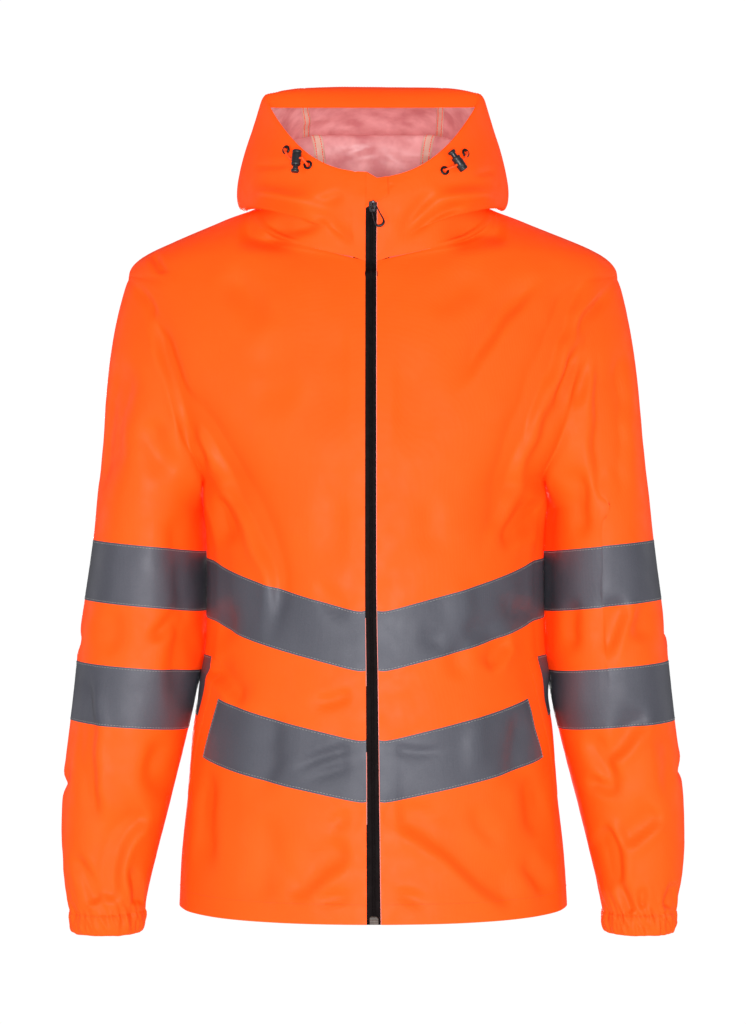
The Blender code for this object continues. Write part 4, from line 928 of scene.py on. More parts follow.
    Fold("sleeve_right_side", ((-36, -556), (-6, -540), (22, -566)), 8, 2.8, 0.3, 0.3, 0.2),
    Fold("sleeve_right_side", ((-4, -610), (-14, -646), (-8, -684)), 6, 2.2, 0.3, 0.1, 0.0),
    # hood from behind and from above
    Fold("hood_back", ((96, 40), (70, 58), (30, 62)), 9, 3.0, 0.3, 0.4, 0.2),
    Fold("hood_back", ((-92, 48), (-62, 66), (-20, 58)), 9, 3.0, 0.3, 0.4, 0.2),
    Fold("hood_back", ((20, 90), (44, 78), (78, 84)), 8, 2.2, 0.3, 0.4, 0.0),
    Fold("hood_top", ((-70, 20), (-30, 34), (20, 26)), 12, 2.4, 0.3, 0.4, 0.0),
    Fold("hood_top", ((76, 40), (48, 58), (6, 66)), 12, 2.6, 0.3, 0.4, 0.0),
    Fold("hood_top", ((-84, 60), (-60, 84), (-20, 92)), 11, 2.6, 0.3, 0.4, 0.0),
)

FOLD_GAIN = {"collar": 1.35, "inside": 0.8, "hood_back": 1.6, "hood_top": 1.6, "back": 1.9,
             "sleeve_back": 1.9, "sleeve_left_side": 1.8, "sleeve_right_side": 1.8}
FOLD_BREADTH = {"sleeve": 1.25, "front": 1.12, "sleeve_back": 1.15}
push = np.zeros(count)
press = np.zeros(count)
for fold in FOLDS:
    weight, plane, sign = ZONE[fold.zone]
    line = curve(fold.line)
    width = fold.width * FOLD_BREADTH.get(fold.zone, 1.0)
    reach = (3.3 + 1.5 * min(1.0, 2 * abs(fold.lean))) * width
    lo, hi = line.min(0) - reach, line.max(0) + reach
    near = np.flatnonzero((weight > 0.01) & (plane > lo).all(1) & (plane < hi).all(1))
    if not len(near):
        continue
    q = plane[near]
    a, b = line[:-1], line[1:]
    ab = b - a
    length = np.linalg.norm(ab, axis=1)
    ap = q[:, None] - a[None]
    t = np.clip((ap * ab).sum(2) / np.maximum(length ** 2, 1e-6), 0, 1)
    gap = ap - ab[None] * t[..., None]
    dist = np.linalg.norm(gap, axis=2)
    best = dist.argmin(1)
    rows_ = np.arange(len(near))
    across = np.sign(ab[best, 0] * ap[rows_, best, 1] - ab[best, 1] * ap[rows_, best, 0])
    arc = np.concatenate([[0], np.cumsum(length)])
    where = (arc[best] + t[rows_, best] * length[best]) / arc[-1]
    s = dist[rows_, best] * across + wander[near] * width * 0.35
    g = np.abs(s) / width
    even_ = -np.exp(-(g / 0.85) ** 2) + 0.12 * np.exp(-((g - 1.6) / 0.8) ** 2)
    steep = -np.exp(-(g / 0.60) ** 2) + 0.24 * np.exp(-((g - 1.2) / 0.6) ** 2)
    gentle = -np.exp(-(np.sqrt(g * g + 0.02) - 0.14) / 1.15)
    leaning = min(1.0, 2 * abs(fold.lean))
    profile = (1 - leaning) * even_ + leaning * np.where(s * fold.lean > 0, steep, gentle)
    fade = smoothstep(where, 0, max(fold.lead, 1e-3)) * smoothstep(1 - where, 0, max(fold.trail, 1e-3))
    end_reach = np.exp(-(np.maximum(0, dist[rows_, best] - 0) / reach) ** 4)
    into = press if fold.zone == "collar" else push
    into[near] += sign * FOLD_GAIN.get(fold.zone, 1.6) * fold.depth * fade * profile * weight[near] * end_reach

# where the hood doubles back on itself a fold is no deeper than the room behind it
sheet_tree = bvhtree.BVHTree.FromPolygons(base.tolist(), quads.tolist())


def room(ids, ways):
    """The distance from each point to the next sheet of cloth, along its way."""
    out = np.empty(len(ids))
    for i, (k, way) in enumerate(zip(ids, ways)):
        way = Vector(way)
        hit = sheet_tree.ray_cast(Vector(base[k]) + way * 0.7, way, 60.0)
        out[i] = 60.0 if hit[3] is None else hit[3] + 0.7
    return out


hood_ids = np.flatnonzero(in_hood > 0)
inward = np.full(count, 60.0)
inward[hood_ids] = room(hood_ids, -normal[hood_ids])
tight = smoothed(np.minimum(inward, 40.0), 3)
push = np.maximum(push, -0.16 * tight)
pressed = np.flatnonzero(np.abs(press) > 0.05)
behind, ahead = np.full(count, 60.0), np.full(count, 60.0)
behind[pressed] = room(pressed, np.tile((0.0, 1.0, 0.0), (len(pressed), 1)))
ahead[pressed] = room(pressed, np.tile((0.0, -1.0, 0.0), (len(pressed), 1)))
press = np.clip(press, -0.45 * smoothed(np.minimum(behind, 40.0), 3),
                0.30 * smoothed(np.minimum(ahead, 40.0), 3))
press = smoothed(press, 2)

# low, wide unevenness of cloth that hangs, livelier on the sleeves and towards the hem
livelier = 0.75 + 0.5 * smoothed(in_sleeve, 8) + 0.35 * smoothstep(-base[:, 2], 420, 660)
push += livelier * (1.3 * noise_at(base, 90.0, 3.1, (1, 1, 0.45))
                    + 0.20 * noise_at(base, 26.0, 11.7, (1, 1, 0.6))
                    + 0.14 * noise_at(base, 9.0, 5.9))

# gathers of the sleeve ends, which go on into the cuffs
CUFF_TOP, CUFF_FOOT = SLEEVE[-1].z, CUFF_END.z


def gather(side, turn, height):
    """Uneven gathers at an angle round the wrist; height is above the cuff's seam."""
    from mathutils import noise
    out = np.empty(len(turn))
    for i, (a, h) in enumerate(zip(np.radians(turn), height)):
        slant = a + 0.010 * h * side
        n = noise.noise(Vector((5.2 * math.cos(slant), 5.2 * math.sin(slant), 0.030 * h + 9.0 * side)))
        m = noise.noise(Vector((9.5 * math.cos(slant), 9.5 * math.sin(slant), 0.05 * h - 4.0 * side)))
        out[i] = 1.25 * (0.32 - abs(n) * 1.9) + 0.9 * m
    return out


for side, name in ((-1, "sleeve_left"), (1, "sleeve_right")):
    lattice = LATTICE[name]
    rows_, cols_ = lattice.shape
    turn = np.arange(cols_) * 22.5 / FINE
    for r in range(rows_ - 9 * FINE // 2 - 1, rows_):
        ids = lattice[r, :-1]
        h = base[ids, 2] - CUFF_TOP
        amount = np.exp(-np.maximum(h, 0) / 15.0) * smoothstep(-h, -62, -40)
        push[ids] += 2.5 * gather(side, turn[:-1], h) * amount

# ------------------------------------------------------------------ seams
def line_of(name, rows=None, cols=None):
    lattice = LATTICE[name]
    if rows is not None and cols is not None:
        return lattice[rows, cols]
    return lattice[rows] if rows is not None else lattice[:, cols]


seam = np.zeros(count)
RINGS = len(HOOD)
BRIM_ROW = (RINGS - 1) * FINE
LAST_H = GRID["hood"].shape[1] - 1
for side in ("left", "right"):
    seam[line_of("sleeve_" + side, rows=0)] = 1.0
    seam[line_of("sleeve_" + side, cols=0)] = 0.4
for c in (0, -1):
    seam[line_of("back", cols=c)] = 0.8
seam[line_of("hood", rows=0)] = np.maximum(seam[line_of("hood", rows=0)], 0.02)
for c in (HOOD_SEAM * FINE, (LAST_H - HOOD_SEAM) * FINE):
    seam[LATTICE["hood"][: BRIM_ROW + 1, c]] = 0.9
brim_cols = slice(HOOD_CORNER * FINE, (LAST_H - HOOD_CORNER) * FINE + 1)
seam[LATTICE["hood"][BRIM_ROW, brim_cols]] = 0.9
near_seam = smoothed(seam, 4)
push += -0.75 * seam - 0.5 * (smoothed(seam, 1) - seam * 0.5)
push += 1.1 * near_seam * (1 - seam) * noise_at(base, 7.0, 21.0)
push = smoothed(push, 1, 0.35)

# the body's sides swell in front, and the sleeves lean in behind, so that no gap shows
# between them above the elbow
slide = np.zeros(count)
down = -base[:, 2]
beside = smoothstep(down, 246, 285) * (1 - smoothstep(down, 440, 476))
for side, swell, lean_in, step_out in ((-1, 3.8, 5.5, 0.0), (1, 8.5, 1.6, 6.0)):
    here = side * base[:, 0]
    on_body = smoothed(np.maximum(in_front, in_back) * (here > 120), 3)
    on_sleeve = smoothed(in_sleeve * (here > 0) * (normal[:, 0] * side < -0.1), 3)
    slide += side * swell * beside * on_body * np.exp(-((base[:, 1] + 22) / 42) ** 2)
    slide -= side * lean_in * beside * on_sleeve * np.exp(-((base[:, 1] - 32) / 26) ** 2)
    slide += side * step_out * beside * on_sleeve * smoothstep(-base[:, 1], -14, 22)

# edges that carry the zip stay level with it
zip_edge = np.zeros(count)
for name in ("front_left", "front_right"):
    zip_edge[LATTICE[name][ARM0 * FINE:, : FINE + 3]] = 1.0
zip_edge[LATTICE["hood"][:, : FINE + 3]] = 1.0
zip_edge[LATTICE["hood"][:, -FINE - 3:]] = 1.0
push *= 1 - 0.8 * smoothed(zip_edge, 2)
zip_middle = np.interp(base[:, 2], [r.z for r in reversed(ZIP)], [r.middle for r in reversed(ZIP)])
off_zip = base[:, 0] - zip_middle
slide += (np.sign(off_zip) * 0.75 * np.exp(-((np.abs(off_zip) - 5) / 9) ** 2) * (base[:, 1] < 0)
          * (1 - smoothstep(base[:, 2], 18, 34)))
P = base + normal * push[:, None]
P[:, 0] += slide
P[:, 1] -= press * (1 - 0.8 * smoothed(zip_edge, 2))
P = smoothed(P, 1, 0.12)
# the sleeves rest against the body's sides and don't go into them
beside_faces = np.flatnonzero((np.abs(P[quads[:, 0], 0]) > 110) & (P[quads[:, 0], 2] < -225)
                              & (P[quads[:, 0], 2] > -520))
sleeve_side = np.where(in_sleeve > 0, np.sign(P[:, 0]), -np.sign(P[:, 0]))
for _ in range(8):
    cut = crossings(P, beside_faces)
    if not len(cut):
        break
    part = np.zeros(count)
    part[np.unique(quads[cut])] = 1.0
    P[:, 0] += sleeve_side * 0.8 * np.minimum(1.0, 3 * smoothed(part, 5))
# and what the folds have made cut itself in the hood is eased apart again
for _ in range(4):
    cut = crossings(P, upper_faces)
    if not len(cut):
        break
    ease = np.zeros(count)
    ease[np.unique(quads[cut])] = 1.0
    ease = np.minimum(1.0, 4 * smoothed(ease, 6)) * (1 - smoothed(held, 3))
    for _ in range(6):
        P += (smoothed(P, 1, 1.0) - P) * (0.6 * ease)[:, None]
keep = np.zeros(count, bool)
for name in ("front_left", "front_right"):
    keep[LATTICE[name][:, 0]] = keep[LATTICE[name][-1]] = True
keep[LATTICE["back"][-1]] = keep[LATTICE["hood"][:, 0]] = keep[LATTICE["hood"][:, -1]] = True
keep[LATTICE["hood"][-1]] = keep[LATTICE["sleeve_left"][-1]] = keep[LATTICE["sleeve_right"][-1]] = True
P[keep] = (base + normal * push[:, None] + np.stack([slide, slide * 0, slide * 0], 1))[keep]
N = vertex_normals(P)

# ------------------------------------------------------------------ materials
def new_material(name, base, rough, metal=0.0, spec=0.5):
    m = bpy.data.materials.new(name)
    m.use_nodes = True
    b = m.node_tree.nodes["Principled BSDF"]
    b.inputs["Base Color"].default_value = (*base, 1)
    b.inputs["Roughness"].default_value = rough
    b.inputs["Metallic"].default_value = metal
    b.inputs["Specular IOR Level"].default_value = spec
    return m, m.node_tree, b


def node(tree, kind, **settings):
    n = tree.nodes.new(kind)
    for key, value in settings.items():
        if key in n.inputs:
            n.inputs[key].default_value = value
        else:
            setattr(n, key, value)
    return n


def scaled_place(tree, scale, stretch=(1, 1, 1)):
    coord = tree.nodes.new("ShaderNodeTexCoord")
    mapping = tree.nodes.new("ShaderNodeMapping")
    mapping.inputs["Scale"].default_value = (scale * stretch[0], scale * stretch[1], scale * stretch[2])
    tree.links.new(coord.outputs["Object"], mapping.inputs["Vector"])
    return mapping.outputs["Vector"]


def noise_tex(tree, scale, detail=2.0, stretch=(1, 1, 1), rough=0.5):
    n = tree.nodes.new("ShaderNodeTexNoise")
    n.inputs["Scale"].default_value = 1.0
    n.inputs["Detail"].default_value = detail
    n.inputs["Roughness"].default_value = rough
    tree.links.new(scaled_place(tree, scale, stretch), n.inputs["Vector"])
    return n.outputs["Fac"]


def wave_tex(tree, scale, direction="X", distortion=0.0, stretch=(1, 1, 1)):
    n = tree.nodes.new("ShaderNodeTexWave")
    n.bands_direction = direction
    n.inputs["Scale"].default_value = 1.0
    n.inputs["Distortion"].default_value = distortion
    n.inputs["Detail"].default_value = 1.0
    tree.links.new(scaled_place(tree, scale, stretch), n.inputs["Vector"])
    return n.outputs["Fac"]


def ramp(tree, value, stops):
    n = tree.nodes.new("ShaderNodeValToRGB")
    while len(n.color_ramp.elements) < len(stops):
        n.color_ramp.elements.new(0.5)
    for e, (at, colour) in zip(n.color_ramp.elements, stops):
        e.position = at
        e.color = (*colour, 1)
    tree.links.new(value, n.inputs["Fac"])
    return n.outputs["Color"]


def math_node(tree, operation, a, b):
    n = tree.nodes.new("ShaderNodeMath")
    n.operation = operation
    for i, v in enumerate((a, b)):
        if isinstance(v, (int, float)):
            n.inputs[i].default_value = v
        else:
            tree.links.new(v, n.inputs[i])
    return n.outputs[0]


def bump(tree, b, heights):
    """Chained bumps from (height output, distance in metres, strength)."""
    last = None
    for height, distance, strength in heights:
        n = tree.nodes.new("ShaderNodeBump")
        n.inputs["Distance"].default_value = distance
        n.inputs["Strength"].default_value = strength
        tree.links.new(height, n.inputs["Height"])
        if last is not None:
            tree.links.new(last, n.inputs["Normal"])
        last = n.outputs["Normal"]
    tree.links.new(last, b.inputs["Normal"])


def rough_range(tree, b, value, low, high):
    n = tree.nodes.new("ShaderNodeMapRange")
    n.inputs["To Min"].default_value = low
    n.inputs["To Max"].default_value = high
    n.inputs["From Min"].default_value = 0.3
    n.inputs["From Max"].default_value = 0.7
    tree.links.new(value, n.inputs["Value"])
    tree.links.new(n.outputs["Result"], b.inputs["Roughness"])


ORANGE = (0.96, 0.118, 0.008)


def weave_height(tree, pitch):
    """Plain weave: two crossed sets of threads, pitch in metres."""
    k = 1.0 / pitch / 20.0 * 3.14159
    a = wave_tex(tree, k, "X", 0.4)
    b = wave_tex(tree, k, "Z", 0.4)
    c = wave_tex(tree, k, "Y", 0.4)
    return math_node(tree, "ADD", math_node(tree, "MAXIMUM", a, b), c)


def shell_material(name, base=ORANGE, emit=(0.90, 0.012, 0.0), emit_strength=0.58, rough=0.5):
    m, t, b = new_material(name, base, rough, spec=0.13)
    patch = noise_tex(t, 22.0, 3.0)
    dirt = ramp(t, patch, [(0.30, tuple(c * f for c, f in zip(base, (1.0, 0.97, 0.97)))),
                           (0.72, tuple(min(1, c * f) for c, f in zip(base, (1.0, 1.03, 1.05))))])
    t.links.new(dirt, b.inputs["Base Color"])
    # a constant red glow, painted light: the cloth glows though unlit, standing in for its fluorescence and
    # lifting its shade towards red
    b.inputs["Emission Color"].default_value = (*emit, 1)
    b.inputs["Emission Strength"].default_value = emit_strength
    b.inputs["Sheen Weight"].default_value = 0.0
    b.inputs["Sheen Roughness"].default_value = 0.4
    rough_range(t, b, noise_tex(t, 60.0, 2.0), rough - 0.07, rough + 0.08)
    bump(t, b, [(noise_tex(t, 140.0, 3.0), 0.0005, 0.25), (weave_height(t, 0.0006), 0.00006, 0.5),
                (noise_tex(t, 2200.0, 1.0), 0.00005, 0.4)])
    return m


SHELL = shell_material("shell_cloth")
SHELL_CUFF = shell_material("shell_cuff", rough=0.55)

COATING, t, b = new_material("shell_coating", (0.50, 0.24, 0.27), 0.42, spec=0.4)
# the coating's colour goes from pink to pale in random patches: painted light, for the lit patches inside the
# hood
t.links.new(ramp(t, noise_tex(t, 42.0, 3.0), [(0.34, (0.46, 0.20, 0.21)), (0.66, (0.74, 0.50, 0.50))]),
            b.inputs["Base Color"])
# a constant pink glow, painted light standing in for light through the thin cloth
b.inputs["Emission Color"].default_value = (1.0, 0.29, 0.29, 1)
b.inputs["Emission Strength"].default_value = 0.22
bump(t, b, [(noise_tex(t, 110.0, 3.0), 0.0008, 0.35), (weave_height(t, 0.0006), 0.00004, 0.4)])
rough_range(t, b, noise_tex(t, 50.0, 2.0), 0.34, 0.52)

SEAM_TAPE, t, b = new_material("seam_tape", (0.86, 0.74, 0.56), 0.35, spec=0.45)
t.links.new(ramp(t, noise_tex(t, 90.0, 2.0), [(0.3, (0.84, 0.66, 0.50)), (0.7, (0.90, 0.80, 0.66))]),
            b.inputs["Base Color"])
bump(t, b, [(noise_tex(t, 240.0, 2.0), 0.0004, 0.4)])

TAPE_MAT, t, b = new_material("reflective_tape", (0.098, 0.100, 0.122), 0.52, 0.12, spec=0.35)
# the tape's colour goes lighter and darker in broad patches and fine specks: painted sheen and painted glints
# of its beads
t.links.new(ramp(t, math_node(t, "ADD", math_node(t, "MULTIPLY", noise_tex(t, 14.0, 2.0), 0.6),
                              math_node(t, "MULTIPLY", noise_tex(t, 900.0, 2.0), 0.4)),
                 [(0.30, (0.076, 0.078, 0.098)), (0.70, (0.106, 0.107, 0.132))]),
            b.inputs["Base Color"])
rough_range(t, b, noise_tex(t, 40.0, 3.0), 0.46, 0.56)
bump(t, b, [(noise_tex(t, 160.0, 3.0), 0.0005, 0.22), (weave_height(t, 0.0007), 0.00006, 0.45),
            (noise_tex(t, 3200.0, 1.0), 0.00004, 0.5)])

ZIP_MAT, t, b = new_material("zip_tape", (0.0052, 0.0022, 0.0024), 0.66, spec=0.10)
bump(t, b, [(wave_tex(t, 260.0, "Z", 0.6), 0.0002, 0.6), (noise_tex(t, 900.0, 2.0), 0.0001, 0.5)])
rough_range(t, b, noise_tex(t, 120.0, 2.0), 0.55, 0.72)

COIL_MAT, t, b = new_material("zip_coil", (0.0055, 0.0028, 0.0030), 0.58, spec=0.12)
rough_range(t, b, noise_tex(t, 200.0, 2.0), 0.50, 0.62)
bump(t, b, [(noise_tex(t, 1200.0, 2.0), 0.00006, 0.4)])

METAL, t, b = new_material("zip_metal", (0.016, 0.015, 0.018), 0.30, 0.55, spec=0.5)
rough_range(t, b, noise_tex(t, 300.0, 3.0), 0.24, 0.40)
t.links.new(ramp(t, noise_tex(t, 500.0, 3.0), [(0.35, (0.011, 0.0105, 0.013)), (0.75, (0.030, 0.029, 0.036))]),
            b.inputs["Base Color"])
bump(t, b, [(noise_tex(t, 700.0, 2.0), 0.00005, 0.5)])

RIVET, t, b = new_material("zip_rivet", (0.20, 0.20, 0.25), 0.32, 0.8)
rough_range(t, b, noise_tex(t, 500.0, 3.0), 0.26, 0.42)
bump(t, b, [(noise_tex(t, 900.0, 2.0), 0.00005, 0.4)])

STOP, t, b = new_material("zip_stop", (0.085, 0.055, 0.04), 0.45, spec=0.4)
t.links.new(ramp(t, noise_tex(t, 260.0, 3.0), [(0.3, (0.05, 0.034, 0.026)), (0.7, (0.12, 0.08, 0.06))]),
            b.inputs["Base Color"])
bump(t, b, [(wave_tex(t, 120.0, "Z", 0.3), 0.0003, 0.5)])

EYELET, t, b = new_material("eyelet", (0.014, 0.013, 0.016), 0.34, 0.5, spec=0.5)
rough_range(t, b, noise_tex(t, 400.0, 3.0), 0.28, 0.44)
bump(t, b, [(noise_tex(t, 900.0, 2.0), 0.00005, 0.5)])

LOCK, t, b = new_material("cord_lock", (0.0145, 0.0145, 0.018), 0.36, spec=0.55)
t.links.new(ramp(t, noise_tex(t, 380.0, 3.0), [(0.35, (0.011, 0.011, 0.014)), (0.75, (0.024, 0.024, 0.030))]),
            b.inputs["Base Color"])
rough_range(t, b, noise_tex(t, 220.0, 3.0), 0.30, 0.46)
bump(t, b, [(noise_tex(t, 1100.0, 2.0), 0.00007, 0.5)])

CORD, t, b = new_material("cord", (0.90, 0.10, 0.015), 0.62, spec=0.3)
# a constant red glow, painted light standing in for the cord's fluorescence
b.inputs["Emission Color"].default_value = (0.9, 0.02, 0.0, 1)
b.inputs["Emission Strength"].default_value = 0.35
bump(t, b, [(wave_tex(t, 90.0, "DIAGONAL", 1.0), 0.0004, 0.8), (noise_tex(t, 900.0, 2.0), 0.0001, 0.5)])

LOOP, t, b = new_material("hanger_loop", (0.42, 0.015, 0.012), 0.7, spec=0.25)
# a constant red glow, painted light standing in for the loop's fluorescence
b.inputs["Emission Color"].default_value = (0.8, 0.01, 0.0, 1)
b.inputs["Emission Strength"].default_value = 0.12
bump(t, b, [(wave_tex(t, 160.0, "Z", 0.4), 0.0003, 0.7), (noise_tex(t, 800.0, 2.0), 0.0001, 0.5)])


def thread_material(name, colour, glow=None):
    m, t, b = new_material(name, colour, 0.55, spec=0.4)
    # the glow is constant, painted light standing in for the thread's fluorescence
    if glow:
        b.inputs["Emission Color"].default_value = (*glow, 1)
        b.inputs["Emission Strength"].default_value = 0.5
    bump(t, b, [(wave_tex(t, 900.0, "DIAGONAL", 0.5), 0.0001, 0.7),
                (noise_tex(t, 1500.0, 1.0), 0.00006, 0.4)])
    rough_range(t, b, noise_tex(t, 700.0, 2.0), 0.5, 0.65)
    return m


THREAD_GREY = thread_material("thread_grey", (0.42, 0.41, 0.40))
THREAD_ORANGE = thread_material("thread_orange", (0.90, 0.095, 0.010), (0.9, 0.01, 0.0))
THREAD_RED = thread_material("thread_red", (0.62, 0.022, 0.010), (0.9, 0.02, 0.0))
PIPING, t, b = new_material("zip_piping", (0.84, 0.30, 0.25), 0.55, spec=0.3)
# a constant glow, painted light standing in for the piping's fluorescence
b.inputs["Emission Color"].default_value = (0.9, 0.12, 0.08, 1)
b.inputs["Emission Strength"].default_value = 0.18
bump(t, b, [(wave_tex(t, 300.0, "Z", 0.5), 0.0002, 0.6), (noise_tex(t, 900.0, 2.0), 0.0001, 0.4)])


# ------------------------------------------------------------------ making pieces
def mesh_object(name, verts, faces, mats, smooth=True, which=None):
    mesh = bpy.data.meshes.new(name)
    mesh.from_pydata([tuple(v) for v in np.asarray(verts) * MM], [], [tuple(f) for f in faces])
    if smooth:
        mesh.polygons.foreach_set("use_smooth", [True] * len(mesh.polygons))
    for m in mats:
        mesh.materials.append(m)
    if which is not None:
        mesh.polygons.foreach_set("material_index", which)
    mesh.update()
    obj = bpy.data.objects.new(name, mesh)
    scene.collection.objects.link(obj)
    return obj


def solidify(obj, thickness, offset=-1.0, inner=0, rim=0):
    mod = obj.modifiers.new("wall", "SOLIDIFY")
    mod.thickness = thickness * MM
    mod.offset = offset
    mod.material_offset = inner
    mod.material_offset_rim = rim
    mod.use_quality_normals = True
    return obj


def patch(name, ids, lift, thickness, mats, inner=0, rim=0, sink=0.0):
    """A thin closed piece over some faces of the shell, lifted along the normals.
    Its border sinks by sink, so that its edge lies down.  It takes the shell's own
    normals, so that two neighbours shade as one cloth across their seam."""
    ids = np.asarray(ids).reshape(-1, 4)
    used, inverse = np.unique(ids, return_inverse=True)
    inverse = inverse.reshape(ids.shape)
    n, f = len(used), len(inverse)
    directed = np.concatenate([inverse[:, [0, 1]], inverse[:, [1, 2]], inverse[:, [2, 3]],
                               inverse[:, [3, 0]]])
    _, at, counts = np.unique(np.sort(directed, 1), axis=0, return_index=True, return_counts=True)
    border = directed[at[counts == 1]]
    heights = np.full(n, float(lift))
    heights[np.unique(border)] -= sink
    top = P[used] + N[used] * heights[:, None]
    low = top - N[used] * thickness
    walls = np.stack([border[:, 1], border[:, 0], border[:, 0] + n, border[:, 1] + n], 1)
    under = inverse[:, [0, 3, 2, 1]]
    quads_ = np.concatenate([inverse, under + n, walls])
    which = np.concatenate([np.zeros(f, int), np.full(f, inner), np.full(len(walls), rim)])
    verts = np.concatenate([top, low])
    obj = mesh_object(name, verts, quads_.tolist(), mats, which=which.tolist())
    out_n = N[used]
    wall_n = units(np.cross(verts[walls[:, 2]] - verts[walls[:, 0]],
                            verts[walls[:, 3]] - verts[walls[:, 1]]))
    loops_n = np.concatenate([out_n[inverse].reshape(-1, 3), -out_n[under].reshape(-1, 3),
                              np.repeat(wall_n, 4, 0)])
    obj.data.normals_split_custom_set(loops_n.tolist())
    return obj


def cells_of(name, rows, cols):
    """The fine quads between two rows and two columns of a panel's lattice."""
    lattice = LATTICE[name]
    block = lattice[rows[0]: rows[1] + 1, cols[0]: cols[1] + 1]
    q = np.stack([block[:-1, :-1], block[1:, :-1], block[1:, 1:], block[:-1, 1:]], -1)
    q = q.reshape(-1, 4)
    a, c, b_, d = P[q[0, 0]], P[q[0, 2]], P[q[0, 1]], P[q[0, 3]]
    # the same way round as the shell's own faces
    mid = q[len(q) // 2]
    n = np.cross(P[mid[2]] - P[mid[0]], P[mid[3]] - P[mid[1]])
    return q if np.dot(n, N[mid].mean(0)) > 0 else q[:, ::-1]


SHELL_MATS = [SHELL, COATING]


def shell_panel(name, ids, node_name=None):
    obj = patch(name, ids, 0.0, 0.5, SHELL_MATS, inner=1, rim=0)
    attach(obj, JACKET)
    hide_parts(node_name or name.replace("shell_", ""))
    return obj


for tag in ("left", "right"):
    ids = quads[panel_of_face == PANELS.index("front_" + tag)]
    shell_panel("shell_front_" + tag, ids)
    ids = quads[panel_of_face == PANELS.index("sleeve_" + tag)]
    shell_panel("shell_sleeve_" + tag, ids)
shell_panel("shell_back", quads[panel_of_face == PANELS.index("back")])
hood_quads = quads[panel_of_face == PANELS.index("hood")]
hood_uv = quad_uv[panel_of_face == PANELS.index("hood")].mean(1)
is_brim = ((hood_uv[:, 1] > RINGS - 1) & (hood_uv[:, 0] > HOOD_CORNER)
           & (hood_uv[:, 0] < LAST_H - HOOD_CORNER))
is_left = (hood_uv[:, 0] < HOOD_SEAM) & ~is_brim
is_right = (hood_uv[:, 0] > LAST_H - HOOD_SEAM) & ~is_brim
is_centre = ~is_brim & ~is_left & ~is_right
for tag, chosen in (("left", is_left), ("right", is_right), ("centre", is_centre), ("brim", is_brim)):
    shell_panel("shell_hood_" + tag, hood_quads[chosen])

# ------------------------------------------------------------------ lines on the shell
def on_shell(name, rows, cols, lift=0.0):
    """Points and normals at fractional rows and columns of a panel's lattice."""
    lattice = LATTICE[name]
    rows = np.clip(np.asarray(rows, float), 0, lattice.shape[0] - 1)
    cols = np.clip(np.asarray(cols, float), 0, lattice.shape[1] - 1)
    rows, cols = np.broadcast_arrays(rows, cols)
    r0 = np.minimum(rows.astype(int), lattice.shape[0] - 2)
    c0 = np.minimum(cols.astype(int), lattice.shape[1] - 2)
    u, v = (rows - r0)[:, None], (cols - c0)[:, None]

    def mix(a):
        return (a[lattice[r0, c0]] * (1 - u) * (1 - v) + a[lattice[r0 + 1, c0]] * u * (1 - v)
                + a[lattice[r0, c0 + 1]] * (1 - u) * v + a[lattice[r0 + 1, c0 + 1]] * u * v)
    n = units(mix(N))
    return mix(P) + n * lift, n


def offset_row(name, row, cols, distance):
    """A row of the lattice moved along the cloth by a distance in mm (to higher rows)."""
    lattice = LATTICE[name]
    step = 1 if distance > 0 else -1
    here, _ = on_shell(name, np.full(len(cols), float(row)), cols)
    there, _ = on_shell(name, np.full(len(cols), float(row + step * 2)), cols)
    per = np.linalg.norm(there - here, axis=1) / 2
    return row + step * np.abs(distance) / np.maximum(per, 0.3)


def offset_col(name, rows, col, distance):
    step = 1 if distance > 0 else -1
    here, _ = on_shell(name, rows, np.full(len(rows), float(col)))
    there, _ = on_shell(name, rows, np.full(len(rows), float(col + step * 2)))
    per = np.linalg.norm(there - here, axis=1) / 2
    return col + step * np.abs(distance) / np.maximum(per, 0.3)


STITCH = []            # (points, normals) of one stitch mesh's lines


def stitches(name, lines, mat, pitch=3.0, length=2.2, width=0.42, height=0.30, closed=False):
    """One joined mesh of the stitches along several lines on the cloth."""
    verts, faces = [], []
    rng = np.random.default_rng(len(name) * 7 + len(lines))
    for pts, nrm in lines:
        seg = np.linalg.norm(np.diff(pts, axis=0), axis=1)
        arc = np.concatenate([[0], np.cumsum(seg)])
        total = int(arc[-1] / pitch)
        if total < 1:
            continue
        centres = (np.arange(total) + 0.5) * arc[-1] / total
        centres = centres + rng.uniform(-0.12, 0.12, total)
        def at(d):
            d = np.clip(d, 0, arc[-1])
            return np.stack([np.interp(d, arc, pts[:, k]) for k in range(3)], 1)
        c, a, b_ = at(centres), at(centres - length / 2), at(centres + length / 2)
        n = units(np.stack([np.interp(centres, arc, nrm[:, k]) for k in range(3)], 1))
        along = units(b_ - a)
        side_ = units(np.cross(n, along))
        for i in range(total):
            start = len(verts)
            tilt = rng.uniform(-0.10, 0.10)
            for place, half_w, up in ((a[i], 0.45, 0.10), (c[i] * 0.7 + a[i] * 0.3, 1.0, 0.9),
                                      (c[i] * 0.7 + b_[i] * 0.3, 1.0, 0.9), (b_[i], 0.45, 0.10)):
                p = place + side_[i] * tilt
                w = side_[i] * width * half_w / 2
                verts += [p - w - n[i] * 0.12, p + w - n[i] * 0.12,
                          p + w * 0.7 + n[i] * height * up, p - w * 0.7 + n[i] * height * up]
            for s in range(3):
                o = start + 4 * s
                for j in range(4):
                    k = (j + 1) % 4
                    faces.append((o + j, o + k, o + 4 + k, o + 4 + j))
            faces.append((start + 3, start + 2, start + 1, start))
            faces.append((start + 12, start + 13, start + 14, start + 15))
    obj = mesh_object(name, verts, faces, [mat])
    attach(obj, JACKET)
    return obj


